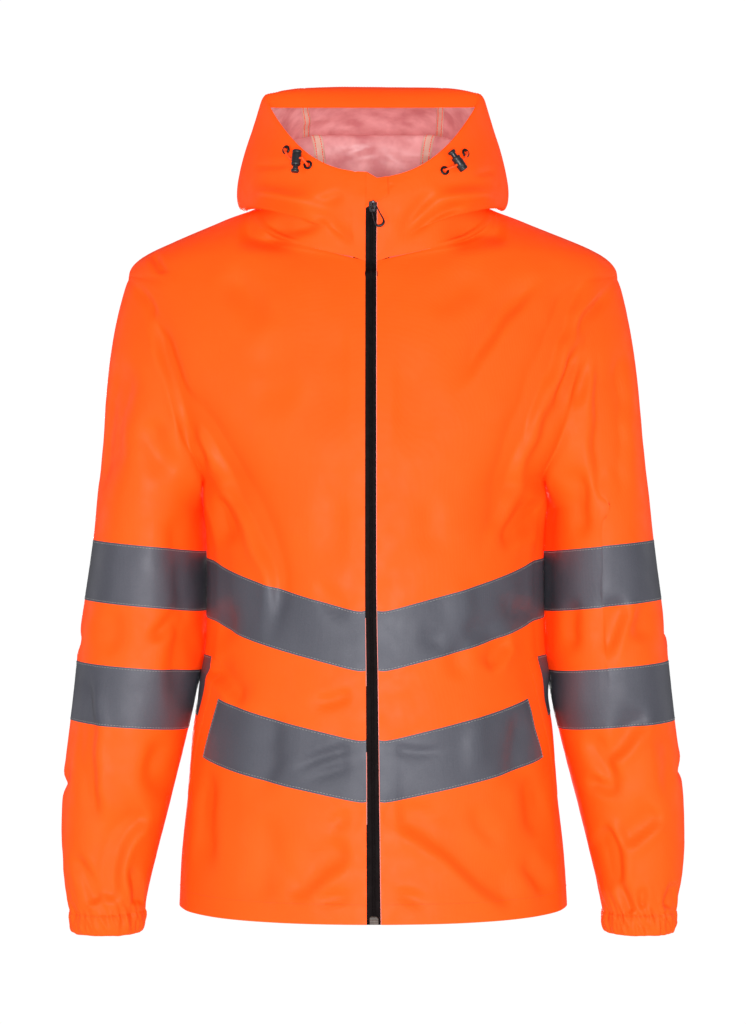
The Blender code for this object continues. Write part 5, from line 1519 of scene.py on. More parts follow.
# ------------------------------------------------------------------ reflective tape
UPPER, LOWER, POCKET = SIDE0 + 1, SIDE0 + 4, SIDE0 + 3
TAPE_LIFT, TAPE_THICK = 0.26, 0.24
LAST_F = GRID["front_left"].shape[1] - 1
LAST_B = GRID["back"].shape[1] - 1
tape_lines = []


def tape(node_name, panel, rows, cols):
    ids = cells_of(panel, (rows[0] * FINE, rows[1] * FINE), (cols[0] * FINE, cols[1] * FINE))
    obj = patch("reflective_" + node_name.replace("tape_", ""), ids, TAPE_LIFT, TAPE_THICK, [TAPE_MAT],
                sink=0.06)
    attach(obj, JACKET)
    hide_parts(node_name)
    at_cols = np.arange(cols[0] * FINE, cols[1] * FINE + 1)
    for row, inside in ((rows[0] * FINE, 1.9), (rows[1] * FINE, -1.9)):
        r = offset_row(panel, row, at_cols, inside)
        tape_lines.append(on_shell(panel, r, at_cols, TAPE_LIFT + 0.02))
    return obj


for tag in ("left", "right"):
    panel = "front_" + tag
    tape("tape_front_upper_" + tag, panel, (UPPER, UPPER + 1), (0, LAST_F))
    tape("tape_front_lower_" + tag, panel, (LOWER, LOWER + 2), (0, LAST_F - 2))
    at_rows = np.arange(LOWER * FINE, (LOWER + 2) * FINE + 1)
    c = offset_col(panel, at_rows, (LAST_F - 2) * FINE, -1.9)
    tape_lines.append(on_shell(panel, at_rows, c, TAPE_LIFT + 0.02))
    first = SLEEVE_TOP_RINGS
    for (a, z_), level in zip(((1, 2), (4, 5)), ("upper", "lower")):
        tape("tape_sleeve_%s_%s" % (level, tag), "sleeve_" + tag, (first + a, first + z_), (0, 16))
tape("tape_back_upper", "back", (UPPER + BACK_SHIFT, UPPER + 1 + BACK_SHIFT), (0, LAST_B))
tape("tape_back_lower", "back", (POCKET + BACK_SHIFT, POCKET + 2 + BACK_SHIFT), (0, LAST_B))
tape_stitching = stitches("tape_stitching", tape_lines, THREAD_GREY)

# pocket welts on the side seams
shell_lines = []
for tag in ("left", "right"):
    panel = "front_" + tag
    rows = (POCKET * FINE, (POCKET + 4) * FINE)
    ids = cells_of(panel, rows, ((LAST_F - 1) * FINE, LAST_F * FINE))
    welt = patch("welt_" + tag, ids, 0.45, 0.34, [SHELL], sink=0.15)
    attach(welt, JACKET)
    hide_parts("pocket_welt_" + tag)
    at_rows = np.arange(rows[0] + 3, rows[1] - 2)
    c = offset_col(panel, at_rows, (LAST_F - 1) * FINE, 1.6)
    shell_lines.append(on_shell(panel, at_rows, c, 0.47))

# topstitching of the shell: hem, hood seams and face opening
for tag in ("left", "right"):
    panel = "front_" + tag
    rows_, cols_ = LATTICE[panel].shape
    at_cols = np.arange(0, cols_ - 1)
    r = offset_row(panel, rows_ - 1, at_cols, -19.0)
    shell_lines.append(on_shell(panel, r, at_cols, 0.02))
at_cols = np.arange(0, LATTICE["back"].shape[1])
r = offset_row("back", LATTICE["back"].shape[0] - 1, at_cols, -19.0)
shell_lines.append(on_shell("back", r, at_cols, 0.02))
top_rows = np.arange(FINE, BRIM_ROW - 2)
for seam_col in (HOOD_SEAM * FINE, (LAST_H - HOOD_SEAM) * FINE):
    for d in (-2.2, 2.2):
        c = offset_col("hood", top_rows, seam_col, d)
        shell_lines.append(on_shell("hood", top_rows, c, 0.02))
at_cols = np.arange(HOOD_CORNER * FINE + 3, (LAST_H - HOOD_CORNER) * FINE - 2)
for d in (-2.0,):
    r = offset_row("hood", BRIM_ROW, at_cols, d)
    shell_lines.append(on_shell("hood", r, at_cols, 0.02))
shell_stitching = stitches("shell_stitching", shell_lines, THREAD_ORANGE, pitch=2.8, length=2.0)

# inside of the hood: seam tape over its two seams, with the needle threads through it
INSIDE = 0.5
tape_in, thread_in = [], []
for k, seam_col in enumerate((HOOD_SEAM * FINE, (LAST_H - HOOD_SEAM) * FINE)):
    lattice = LATTICE["hood"]
    rows = np.arange(2, lattice.shape[0] - FINE)
    verts, faces = [], []
    across = np.linspace(-5.5, 5.5, 7)
    for j, d in enumerate(across):
        c = offset_col("hood", rows, seam_col, d if abs(d) > 0.01 else 0.01)
        p, n = on_shell("hood", rows, c, -(INSIDE + 0.12 + (0.10 if 0 < j < 6 else 0.0)))
        verts.append(p)
        if j in (2, 4):
            pass
    for d in (-3.1, 3.1):
        c = offset_col("hood", rows, seam_col, d)
        p, n = on_shell("hood", rows, c, -(INSIDE + 0.30))
        thread_in.append((p, -n))
    grid_ = np.stack(verts, 1)
    n_r, n_c = grid_.shape[:2]
    idx = np.arange(n_r * n_c).reshape(n_r, n_c)
    q = np.stack([idx[:-1, :-1], idx[1:, :-1], idx[1:, 1:], idx[:-1, 1:]], -1).reshape(-1, 4)
    flat_ = grid_.reshape(-1, 3)
    mid = q[len(q) // 2]
    face_n = np.cross(flat_[mid[2]] - flat_[mid[0]], flat_[mid[3]] - flat_[mid[1]])
    want = -N[LATTICE["hood"][rows[len(rows) // 2], seam_col]]
    if np.dot(face_n, want) < 0:
        q = q[:, ::-1]
    strip = mesh_object("seam_tape_" + ("left", "right")[k], flat_, q, [SEAM_TAPE])
    solidify(strip, 0.12, 1.0)
    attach(strip, JACKET)
inside_stitching = stitches("hood_inside_stitching", thread_in, THREAD_RED, pitch=2.7, length=2.5,
                            width=1.0)

# ------------------------------------------------------------------ cuffs
def cuff(side, tag):
    """Elastic in a tunnel: an outer layer that turns under at the end and runs back up."""
    lattice = LATTICE["sleeve_" + tag]
    around = 288
    top_line = P[lattice[-1]]
    turn_top = np.arange(lattice.shape[1]) * 22.5 / FINE
    turns = np.arange(around) * 360.0 / around
    top = np.stack([np.interp(turns, turn_top, top_line[:, k]) for k in range(3)], 1)
    axis_top = top.mean(0)
    foot = np.array([ring(CUFF_END, side, t_) for t_ in turns])
    axis_foot = foot.mean(0)
    rows = []
    profile = [(-1.6, -0.6), (0.0, -0.1), (0.8, 0.15), (2.0, 0.75), (3.6, 1.25), (5.5, 1.5),
               (8.0, 1.75), (10.5, 1.85), (13.0, 1.75), (15.5, 1.5), (18.0, 1.1), (20.0, 0.5),
               (21.3, -0.3), (21.6, -1.0), (21.2, -1.7), (19.5, -2.1), (15.0, -2.3), (9.0, -2.2),
               (4.0, -2.1)]
    depth = CUFF_TOP - CUFF_FOOT
    for down, out in profile:
        share = min(1.0, max(0.0, down / depth))
        line = top * (1 - share) + foot * share
        axis = axis_top * (1 - share) + axis_foot * share
        radial = line - axis
        radial[:, 2] = 0
        radial = units(radial)
        inner = out < -0.5 and down > 3
        g = gather(side, turns, np.full(around, -down))
        swell = math.sin(math.pi * min(1, max(0, down / depth))) ** 0.6 if not inner else 0.55
        amount = out + g * (0.55 + 1.25 * swell) * (0.75 if inner else 1.0)
        p = line + radial * amount[:, None]
        p[:, 2] = line[:, 2] * 0 + (axis_top[2] - down)
        p[:, 2] += 0.5 * noise_at(np.stack([turns / 360 * 60, np.full(around, side * 9.0),
                                            np.full(around, 2.0)], 1), 3.0) * smoothstep(down, 12, 21)
        rows.append(p)
    grid_ = np.array(rows)
    n_r = len(rows)
    idx = np.arange(n_r * around).reshape(n_r, around)
    nxt = np.roll(idx, -1, 1)
    q = np.stack([idx[:-1], idx[1:], nxt[1:], nxt[:-1]], -1).reshape(-1, 4)
    flat_ = grid_.reshape(-1, 3)
    mid = q[around * 5]
    out_dir = flat_[mid].mean(0) - axis_foot
    out_dir[2] = 0
    if np.dot(np.cross(flat_[mid[2]] - flat_[mid[0]], flat_[mid[3]] - flat_[mid[1]]), out_dir) < 0:
        q = q[:, ::-1]
    obj = mesh_object("cuff_cloth_" + tag, flat_, q, [SHELL_CUFF, SHELL_CUFF])
    solidify(obj, 0.35)
    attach(obj, JACKET)
    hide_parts("cuff_" + tag)
    line = grid_[3]
    n = line - axis_top
    n[:, 2] = 0
    return [(np.vstack([line, line[:1]]), units(np.vstack([n, n[:1]])))]


cuff_lines = cuff(-1, "left") + cuff(1, "right")
cuff_stitching = stitches("cuff_stitching", cuff_lines, THREAD_ORANGE, pitch=2.6, length=1.9)

# ------------------------------------------------------------------ zip
ZIP_TOP_RING = 7
coil_line = []
for tag, sign, hood_cols in (("left", -1, (0, 1, 4, 8)), ("right", 1, (-1, -2, -5, -9))):
    hood, front = LATTICE["hood"], LATTICE["front_" + tag]
    rows = []
    for r in range(ZIP_TOP_RING * FINE, 0, -1):
        rows.append([hood[r, c] for c in hood_cols])
    for r in range(ARM0 * FINE, front.shape[0]):
        rows.append([front[r, c] for c in (0, 1, 4, 8)])
    verts = []
    for ids in rows:
        edge, n = P[ids[0]], N[ids[0]] * np.array([0, 1, 1])
        n = n / np.linalg.norm(n)
        middle = smooth(ZIP, "z", "middle", edge[2])
        behind = n * 0.95
        line = []
        for share, rise in ((0.0, 0.42), (0.10, 0.30), (0.16, -0.12), (0.22, 0.10), (0.55, 0.06),
                            (0.84, 0.04), (0.90, 0.10), (1.0, 0.12)):
            x = middle + sign * 0.05 + (edge[0] - middle - sign * 0.05) * share
            p = np.array([x, edge[1], edge[2]]) - behind + n * rise
            line.append(p)
        for k in (1, 2, 3):
            line.append(P[ids[k]] - N[ids[k]] * (0.85 + 0.1 * k))
        verts.append(line)
        if sign < 0:
            coil_line.append((np.array([middle, edge[1], edge[2]]) - behind, n))
    grid_ = np.array(verts)
    n_r, n_c = grid_.shape[:2]
    idx = np.arange(n_r * n_c).reshape(n_r, n_c)
    q = np.stack([idx[:-1, :-1], idx[1:, :-1], idx[1:, 1:], idx[:-1, 1:]], -1).reshape(-1, 4)
    # the piping shows all down one side, and on the other only between the tapes' ends
    level = grid_[:-1, 0, 2]
    shows = (sign > 0) | ((level > -450) & (level < -384)) | ((level > -580) & (level < -512))
    which = np.zeros((n_r - 1, n_c - 1), int)
    which[shows, 6] = 1
    which = which.ravel()
    flat_ = grid_.reshape(-1, 3)
    mid = q[len(q) // 2]
    if np.cross(flat_[mid[2]] - flat_[mid[0]], flat_[mid[3]] - flat_[mid[1]])[1] > 0:
        q = q[:, ::-1]
    obj = mesh_object("zip_cloth_" + tag, flat_, q, [ZIP_MAT, PIPING], which=which)
    solidify(obj, 0.45)
    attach(obj, JACKET)
    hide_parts("zip_tape_" + tag)

# the coil shows as fine ribs down the middle of the zip
pts = np.array([c[0] for c in coil_line])
nrm = np.array([c[1] for c in coil_line])
seg = np.linalg.norm(np.diff(pts, axis=0), axis=1)
arc = np.concatenate([[0], np.cumsum(seg)])
teeth = np.arange(7.0, arc[-1] - 9.0, 1.35)
verts, faces = [], []
for i, d in enumerate(teeth):
    c = np.array([np.interp(d, arc, pts[:, k]) for k in range(3)])
    n = unit(np.array([np.interp(d, arc, nrm[:, k]) for k in range(3)]))
    along = unit(np.array([np.interp(min(d + 1, arc[-1]), arc, pts[:, k]) for k in range(3)]) - c)
    right = unit(np.cross(along, n))
    if right[0] < 0:
        right = -right
    start = len(verts)
    lean = 0.22 if i % 2 else -0.22
    for x, h in ((-1.45, 0.05), (-0.8, 0.30), (0.0, 0.38), (0.8, 0.30), (1.45, 0.05)):
        o = c + right * x + n * 0.34 + along * lean * x * 0.3
        verts += [o - along * 0.42 - n * 0.2, o + along * 0.42 - n * 0.2,
                  o + along * 0.26 + n * h, o - along * 0.26 + n * h]
    for s in range(4):
        o = start + 4 * s
        for j in range(4):
            k = (j + 1) % 4
            faces.append((o + j, o + k, o + 4 + k, o + 4 + j))
    faces.append((start + 3, start + 2, start + 1, start))
    faces.append((start + 16, start + 17, start + 18, start + 19))
coil = mesh_object("zip_coil", verts, faces, [COIL_MAT])
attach(coil, JACKET)

# the flap over the top of the zip
hood = LATTICE["hood"]
first = (ZIP_TOP_RING - 1) * FINE + 2
verts = []
for r in range(first, hood.shape[0]):
    left_, l1 = P[hood[r, 0]], P[hood[r, 1]]
    right_, r1 = P[hood[r, -1]], P[hood[r, -1 - FINE]]
    n = unit((N[hood[r, 1]] + N[hood[r, -2]]) * np.array([0.2, 1, 1]))
    line = []
    for share in np.linspace(-0.05, 1.0, 15):
        a = left_ * (1 - share) + right_ * share if share <= 1 else right_
        line.append(a + n * 0.75)
    for share in np.linspace(0.12, 1.0, 8):
        line.append(right_ * (1 - share) + r1 * share + N[hood[r, -1 - int(FINE * share)]] * 0.72)
    verts.append(line)
grid_ = np.array(verts)
n_r, n_c = grid_.shape[:2]
drop = np.linspace(9.5, -1.2, n_c)
fade_rows = np.linspace(1, 0, n_r)[:, None] ** 1.0
grid_[..., 2] = grid_[..., 2] + (-3.0 + (4.5 - drop) * 0 + np.linspace(-7.5, 4.0, n_c)[None, :]) * fade_rows
# nothing rises above the hood's edge, and the tab's top lies level with it
grid_[-1, :, 2] = np.minimum(grid_[-1, :, 2], P[hood[-1, 0], 2] - 0.2)
idx = np.arange(n_r * n_c).reshape(n_r, n_c)
q = np.stack([idx[:-1, :-1], idx[1:, :-1], idx[1:, 1:], idx[:-1, 1:]], -1).reshape(-1, 4)
flat_ = grid_.reshape(-1, 3)
mid = q[len(q) // 2]
if np.cross(flat_[mid[2]] - flat_[mid[0]], flat_[mid[3]] - flat_[mid[1]])[1] > 0:
    q = q[:, ::-1]
garage = mesh_object("zip_flap", flat_, q, [SHELL, COATING])
solidify(garage, 0.4, -1.0)
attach(garage, JACKET)
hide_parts("zip_garage")


# ------------------------------------------------------------------ hard pieces
def node_points(name):
    obj = frame["nodes"][name]
    w = np.array(obj.matrix_world)
    v = np.array([tuple(p.co) for p in obj.data.vertices])
    return (v @ w[:3, :3].T + w[:3, 3]) / MM


def lathe(name, profile, mat, base_, axis, sides=48, smooth_angle=35, ride=JACKET):
    z = Vector(axis).normalized()
    turn = z.to_track_quat("Z", "Y").to_matrix()
    verts, faces, rows = [], [], []
    for i, (radius, height) in enumerate(profile):
        if i and (radius, height) == profile[0]:
            rows.append(rows[0])
        elif radius == 0:
            rows.append([len(verts)])
            verts.append(turn @ Vector((0, 0, height)))
        else:
            rows.append(list(range(len(verts), len(verts) + sides)))
            for k in range(sides):
                a = 2 * math.pi * k / sides
                verts.append(turn @ Vector((radius * math.cos(a), radius * math.sin(a), height)))
    for low, high in zip(rows, rows[1:]):
        for k in range(sides):
            j = (k + 1) % sides
            if len(low) == 1 and len(high) == 1:
                break
            if len(low) == 1:
                faces.append([low[0], high[j], high[k]])
            elif len(high) == 1:
                faces.append([low[k], low[j], high[0]])
            else:
                faces.append([low[k], low[j], high[j], high[k]])
    v = np.array([np.array(base_) + np.array(p) for p in verts])
    obj = mesh_object(name, v, faces, [mat])
    fix_normals(obj)
    obj.data.set_sharp_from_angle(angle=math.radians(smooth_angle))
    return obj


def fix_normals(obj):
    import bmesh
    bm = bmesh.new()
    bm.from_mesh(obj.data)
    bmesh.ops.recalc_face_normals(bm, faces=bm.faces)
    bm.to_mesh(obj.data)
    bm.free()


def sweep(name, points_, radius, mat, sides=14, closed=False, step=0.6, flat=1.0):
    """A round cord through points; radius may be a list, one for each point."""
    pts = [np.array(p, float) for p in points_]
    rad = list(radius) if hasattr(radius, "__len__") else [radius] * len(pts)
    n = len(pts)
    line, rr = [], []
    spans = n if closed else n - 1
    for i in range(spans):
        if closed:
            a, b_, c, d = (pts[(i + k) % n] for k in (-1, 0, 1, 2))
        else:
            a, b_, c, d = pts[max(i - 1, 0)], pts[i], pts[i + 1], pts[min(i + 2, n - 1)]
        parts = max(2, int(np.linalg.norm(c - b_) / step))
        for s in range(parts):
            t_ = s / parts
            line.append(0.5 * (2 * b_ + (c - a) * t_ + (2 * a - 5 * b_ + 4 * c - d) * t_ * t_
                               + (3 * b_ - a - 3 * c + d) * t_ ** 3))
            rr.append(rad[i] * (1 - t_) + rad[(i + 1) % n] * t_)
    if not closed:
        line.append(pts[-1])
        rr.append(rad[-1])
    line = np.array(line)
    m = len(line)
    if closed:
        tan = units(np.roll(line, -1, 0) - np.roll(line, 1, 0))
    else:
        tan = units(np.gradient(line, axis=0))
    up = unit(np.cross(tan[0], np.array([0.3, 1.0, 0.2])))
    verts = []
    for i in range(m):
        up = unit(up - tan[i] * np.dot(up, tan[i]))
        side_ = np.cross(tan[i], up)
        for k in range(sides):
            a = 2 * math.pi * k / sides
            verts.append(line[i] + rr[i] * (up * math.cos(a) + side_ * math.sin(a) * flat))
    faces = []
    for i in range(m if closed else m - 1):
        j = (i + 1) % m
        shift = 0
        if closed and j == 0:      # the frame may have turned on its way round
            first_ring = np.array(verts[:sides])
            here = np.array(verts[i * sides])
            shift = int(np.linalg.norm(first_ring - here, axis=1).argmin())
        for k in range(sides):
            k2 = (k + 1) % sides
            faces.append([i * sides + k, i * sides + k2, j * sides + (k2 + shift) % sides,
                          j * sides + (k + shift) % sides])
    if not closed:
        faces.append([k for k in range(sides)][::-1])
        faces.append([(m - 1) * sides + k for k in range(sides)])
    obj = mesh_object(name, verts, faces, [mat])
    fix_normals(obj)
    return obj


def ring_piece(name, centre, axis, big, small, mat, around=64, section=20, flat=1.0):
    z = Vector(axis).normalized()
    turn = np.array(z.to_track_quat("Z", "Y").to_matrix())
    verts, faces = [], []
    for i in range(around):
        a = 2 * math.pi * i / around
        for j in range(section):
            b_ = 2 * math.pi * j / section
            r = big + small * math.cos(b_)
            verts.append(np.array(centre) + turn @ np.array(
                [r * math.cos(a), r * math.sin(a), small * flat * math.sin(b_)]))
    for i in range(around):
        for j in range(section):
            p, q_ = (i + 1) % around, (j + 1) % section
            faces.append([i * section + j, p * section + j, p * section + q_, i * section + q_])
    obj = mesh_object(name, verts, faces, [mat])
    fix_normals(obj)
    return obj


def plate(name, outline, y0, y1, mat, bevel=0.5, segments=3):
    """A plate from an outline in x, z between two depths, its edges rounded."""
    n = len(outline)
    verts = [(x, y0, z) for x, z in outline] + [(x, y1, z) for x, z in outline]
    faces = [list(range(n)), [n + k for k in range(n)][::-1]]
    faces += [[k, (k + 1) % n, n + (k + 1) % n, n + k] for k in range(n)]
    obj = mesh_object(name, verts, faces, [mat])
    fix_normals(obj)
    if bevel:
        mod = obj.modifiers.new("edges", "BEVEL")
        mod.width = bevel * MM
        mod.segments = segments
        mod.limit_method = "ANGLE"
        mod.angle_limit = math.radians(35)
    obj.data.set_sharp_from_angle(angle=math.radians(50))
    return obj


# zip slider: body, crown that carries the puller, and a rivet
JOINTS = {j["name"]: j for j in frame["record"]["behaviour"]["joints"]}
PIVOT = np.array(JOINTS["zip_pull"]["pos_m"]) / MM
lo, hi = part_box("zip_slider")
lo, hi = np.array(lo) / MM, np.array(hi) / MM
SLIDER_X = PIVOT[0] - 0.6
face_y = PIVOT[1] + 2.85
SLIDER_Z = PIVOT[2] - 2.2
slider = plate("slider_body", [(SLIDER_X - 3.2, SLIDER_Z + 5.0), (SLIDER_X - 3.7, SLIDER_Z + 2.4),
                               (SLIDER_X - 3.5, SLIDER_Z - 1.0), (SLIDER_X - 2.7, SLIDER_Z - 5.3),
                               (SLIDER_X + 2.7, SLIDER_Z - 5.3), (SLIDER_X + 3.5, SLIDER_Z - 1.0),
                               (SLIDER_X + 3.7, SLIDER_Z + 2.4), (SLIDER_X + 3.2, SLIDER_Z + 5.0),
                               (SLIDER_X + 1.0, SLIDER_Z + 5.4), (SLIDER_X - 1.0, SLIDER_Z + 5.4)],
               face_y - 1.55, face_y + 1.3, METAL, bevel=0.55)
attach(slider, JACKET)
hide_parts("zip_slider")
crown = sweep("slider_crown", [
    (PIVOT[0], face_y - 1.2, PIVOT[2] + 3.0), (PIVOT[0], face_y - 3.6, PIVOT[2] + 2.9),
    (PIVOT[0], face_y - 4.85, PIVOT[2] + 1.7), (PIVOT[0], face_y - 4.95, PIVOT[2] - 0.8),
    (PIVOT[0], face_y - 4.8, PIVOT[2] - 3.2), (PIVOT[0], face_y - 3.6, PIVOT[2] - 4.3),
    (PIVOT[0], face_y - 1.2, PIVOT[2] - 4.4)], 0.72, METAL, sides=16, flat=1.25)
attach(crown, JACKET)
rivet = lathe("slider_rivet", [(0, 0.75), (0.7, 0.70), (1.15, 0.45), (1.3, 0.1), (1.3, -0.6), (0, -0.6)],
              RIVET, (PIVOT[0], face_y - 5.4, PIVOT[2] + 1.9), (0, -1, 0), sides=32)
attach(rivet, JACKET)

# the puller: a drop of bent wire, heavier at its foot
PULL = ((-1.7, 0.0, 0.75), (1.7, 0.0, 0.75), (2.7, -2.2, 0.62), (4.3, -10.0, 0.60),
        (6.0, -16.6, 0.85), (5.2, -20.2, 1.25), (2.0, -21.9, 1.35), (-1.6, -20.6, 1.15),
        (-3.0, -15.5, 0.80), (-2.8, -8.0, 0.60), (-2.7, -2.2, 0.62))
PULL_TURN = math.radians(14)
line = []
for px, pz, _ in PULL:
    share = min(1.0, abs(pz) / 3.0)
    tx = px * math.cos(PULL_TURN * share) - pz * math.sin(PULL_TURN * share)
    tz = px * math.sin(PULL_TURN * share) + pz * math.cos(PULL_TURN * share)
    line.append((PIVOT[0] + tx, PIVOT[1], PIVOT[2] + tz))
puller = sweep("puller_wire", line, [p[2] for p in PULL], METAL, sides=16, closed=True, step=0.5)
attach(puller, "puller")
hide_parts("zip_puller")

# box at the foot of the zip
lo, hi = (np.array(v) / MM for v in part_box("zip_stop"))
cx, cy, cz = (lo + hi) / 2
stop_box = plate("zip_foot", [(lo[0] + 0.2, lo[2] + 0.1), (hi[0] - 0.2, lo[2] + 0.1),
                              (hi[0] - 0.2, hi[2] - 2.2), (hi[0] - 2.6, hi[2]), (lo[0] + 1.6, hi[2]),
                              (lo[0] + 0.2, hi[2] - 1.4)], lo[1] + 0.1, hi[1], STOP, bevel=0.45)
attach(stop_box, JACKET)
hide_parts("zip_stop")

# eyelets, cords and cord locks
CORD_R, LOCK_R, LOCK_L, LOCK_BORE, ROD_R, KNOB_R, KNOB_L, PRESS = 1.2, 4.5, 15.5, 3.0, 2.6, 3.9, 6.0, 3.5
for tag in ("left", "right"):
    spots = {}
    for which_ in ("outer", "inner"):
        v = node_points("eyelet_%s_%s" % (which_, tag))
        centre = v.mean(0)
        _, _, axes = np.linalg.svd(v - centre)
        n = axes[2] if axes[2][1] < 0 else -axes[2]
        eye = ring_piece("eyelet_ring_%s_%s" % (which_, tag), centre, n, 3.35, 1.2, EYELET, flat=0.8)
        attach(eye, JACKET)
        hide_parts("eyelet_%s_%s" % (which_, tag))
        collar = lathe("eyelet_barrel_%s_%s" % (which_, tag),
                       [(2.25, -2.4), (2.25, 0.1), (2.7, 0.35), (3.0, 0.2), (3.0, -2.4), (2.25, -2.4)],
                       EYELET, centre, n, sides=40)
        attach(collar, JACKET)
        spots[which_] = (centre - n * 1.45, n)
    (p_out, n_out), (p_in, n_in) = spots["outer"], spots["inner"]
    joint = JOINTS["lock_press_" + tag]
    mouth, into = np.array(joint["pos_m"]) / MM, unit(np.array(joint["axis"], float))
    n = unit(n_out + n_in)
    profile = [(LOCK_BORE, 1.2), (LOCK_BORE + 0.1, 0.3), (LOCK_R * 0.80, 0.0), (LOCK_R * 0.93, 0.25),
               (LOCK_R, 1.0), (LOCK_R, 2.3), (LOCK_R * 0.93, 2.7), (LOCK_R * 0.93, 3.5),
               (LOCK_R, 3.9), (LOCK_R * 1.01, 7.5), (LOCK_R, 11.6), (LOCK_R * 0.95, 12.0),
               (LOCK_R * 0.95, 12.8), (LOCK_R, 13.2), (LOCK_R, 14.3), (LOCK_R * 0.90, 15.2),
               (LOCK_R * 0.72, LOCK_L), (0, LOCK_L), (0, LOCK_L - 1.5), (LOCK_BORE, LOCK_L - 1.5),
               (LOCK_BORE, 1.2)]
    barrel = lathe("cord_lock_barrel_" + tag, profile, LOCK, mouth, into, sides=56)
    hole = mouth + into * (LOCK_L * 0.46)
    sideways = unit(np.cross(into, n))
    if np.dot(sideways, p_out - p_in) < 0:
        sideways = -sideways
    cutter = lathe("cut_" + tag, [(0, -12), (CORD_R + 0.55, -12), (CORD_R + 0.55, 12), (0, 12)], LOCK,
                   hole, sideways, sides=28)
    slot_ = plate("slot_" + tag, [(-12, -1.8 - PRESS), (12, -1.8 - PRESS), (12, 1.8 + PRESS),
                                  (-12, 1.8 + PRESS)], -1.8, 1.8, LOCK, bevel=0)
    basis = np.array([sideways, np.cross(into, sideways), into]).T
    for vert in slot_.data.vertices:
        vert.co = Vector(basis @ np.array(vert.co) + hole * MM)
    fix_normals(slot_)
    rod_in = LOCK_L - 1.5 - PRESS - 0.5
    knob = [(0, -KNOB_L - 1.2), (KNOB_R * 0.55, -KNOB_L - 1.2), (KNOB_R * 0.86, -KNOB_L - 0.9),
            (KNOB_R, -KNOB_L - 0.1), (KNOB_R, -KNOB_L + 0.9), (KNOB_R * 0.94, -KNOB_L + 1.2),
            (KNOB_R * 0.94, -KNOB_L + 1.6), (KNOB_R, -KNOB_L + 1.9), (KNOB_R * 0.97, -PRESS - 1.1),
            (KNOB_R * 0.8, -PRESS - 0.5), (ROD_R, -PRESS - 0.4), (ROD_R, rod_in), (0, rod_in)]
    plunger = lathe("cord_lock_plunger_" + tag, knob, LOCK, mouth, into, sides=56)
    for target_, tool in ((barrel, cutter), (plunger, slot_)):
        mod = target_.modifiers.new("cord hole", "BOOLEAN")
        mod.operation = "DIFFERENCE"
        mod.solver = "EXACT"
        mod.object = tool
        graph = bpy.context.evaluated_depsgraph_get()
        cut = bpy.data.meshes.new_from_object(target_.evaluated_get(graph), depsgraph=graph)
        target_.modifiers.clear()
        target_.data = cut
        cut.set_sharp_from_angle(angle=math.radians(35))
    for tool in (cutter, slot_):
        bpy.data.objects.remove(tool, do_unlink=True)
    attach(barrel, JACKET)
    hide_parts("lock_barrel_" + tag)
    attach(plunger, "plunger_" + tag)
    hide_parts("lock_plunger_" + tag)
    start, end = p_out + n_out * 0.6, p_in + n_in * 0.6
    reach = LOCK_R + 2.0
    cord = sweep("elastic_cord_" + tag, [
        start, start + n_out * 3.2, (start + n_out * 5.5 + hole + sideways * reach) / 2 + n * 0.8,
        hole + sideways * reach, hole + sideways * LOCK_R, hole - sideways * LOCK_R,
        hole - sideways * reach, (end + n_in * 5.0 + hole - sideways * reach) / 2 + n * 0.4,
        end + n_in * 3.2, end], CORD_R, CORD, sides=20, step=0.4)
    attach(cord, JACKET)
    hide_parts("cord_" + tag)

# hanger loop: a narrow tape that stands up inside the neck
LOOP_X, LOOP_Y, LOOP_TOP, LOOP_FOOT = 27.0, 55.0, 56.0, 8.0
loop_pts = [(LOOP_X - 5, LOOP_FOOT), (LOOP_X - 5.5, 30), (LOOP_X - 4.4, 48), (LOOP_X, LOOP_TOP),
            (LOOP_X + 4.4, 48), (LOOP_X + 5.5, 30), (LOOP_X + 5, LOOP_FOOT)]
fine_line = curve(loop_pts, 1.2)
tan = units(np.gradient(fine_line, axis=0))
verts = []
for (x, z), (tx, tz) in zip(fine_line, tan):
    for dy, puff in ((-3.4, 0.0), (-3.0, 0.12), (-1.0, 0.0), (1.0, 0.0), (3.0, 0.12), (3.4, 0.0)):
        verts.append((x - tz * (0.3 + puff), LOOP_Y + dy, z + tx * (0.3 + puff)))
n_r, n_c = len(fine_line), 6
idx = np.arange(n_r * n_c).reshape(n_r, n_c)
q = np.stack([idx[:-1, :-1], idx[1:, :-1], idx[1:, 1:], idx[:-1, 1:]], -1).reshape(-1, 4)
loop = mesh_object("loop_tape", verts, q, [LOOP])
solidify(loop, 0.8, 0.0)
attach(loop, JACKET)
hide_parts("hanger_loop")

# ------------------------------------------------------------------ area of a mesh's faces
def surface(obj):
    mesh = obj.data
    return sum(p.area for p in mesh.polygons)


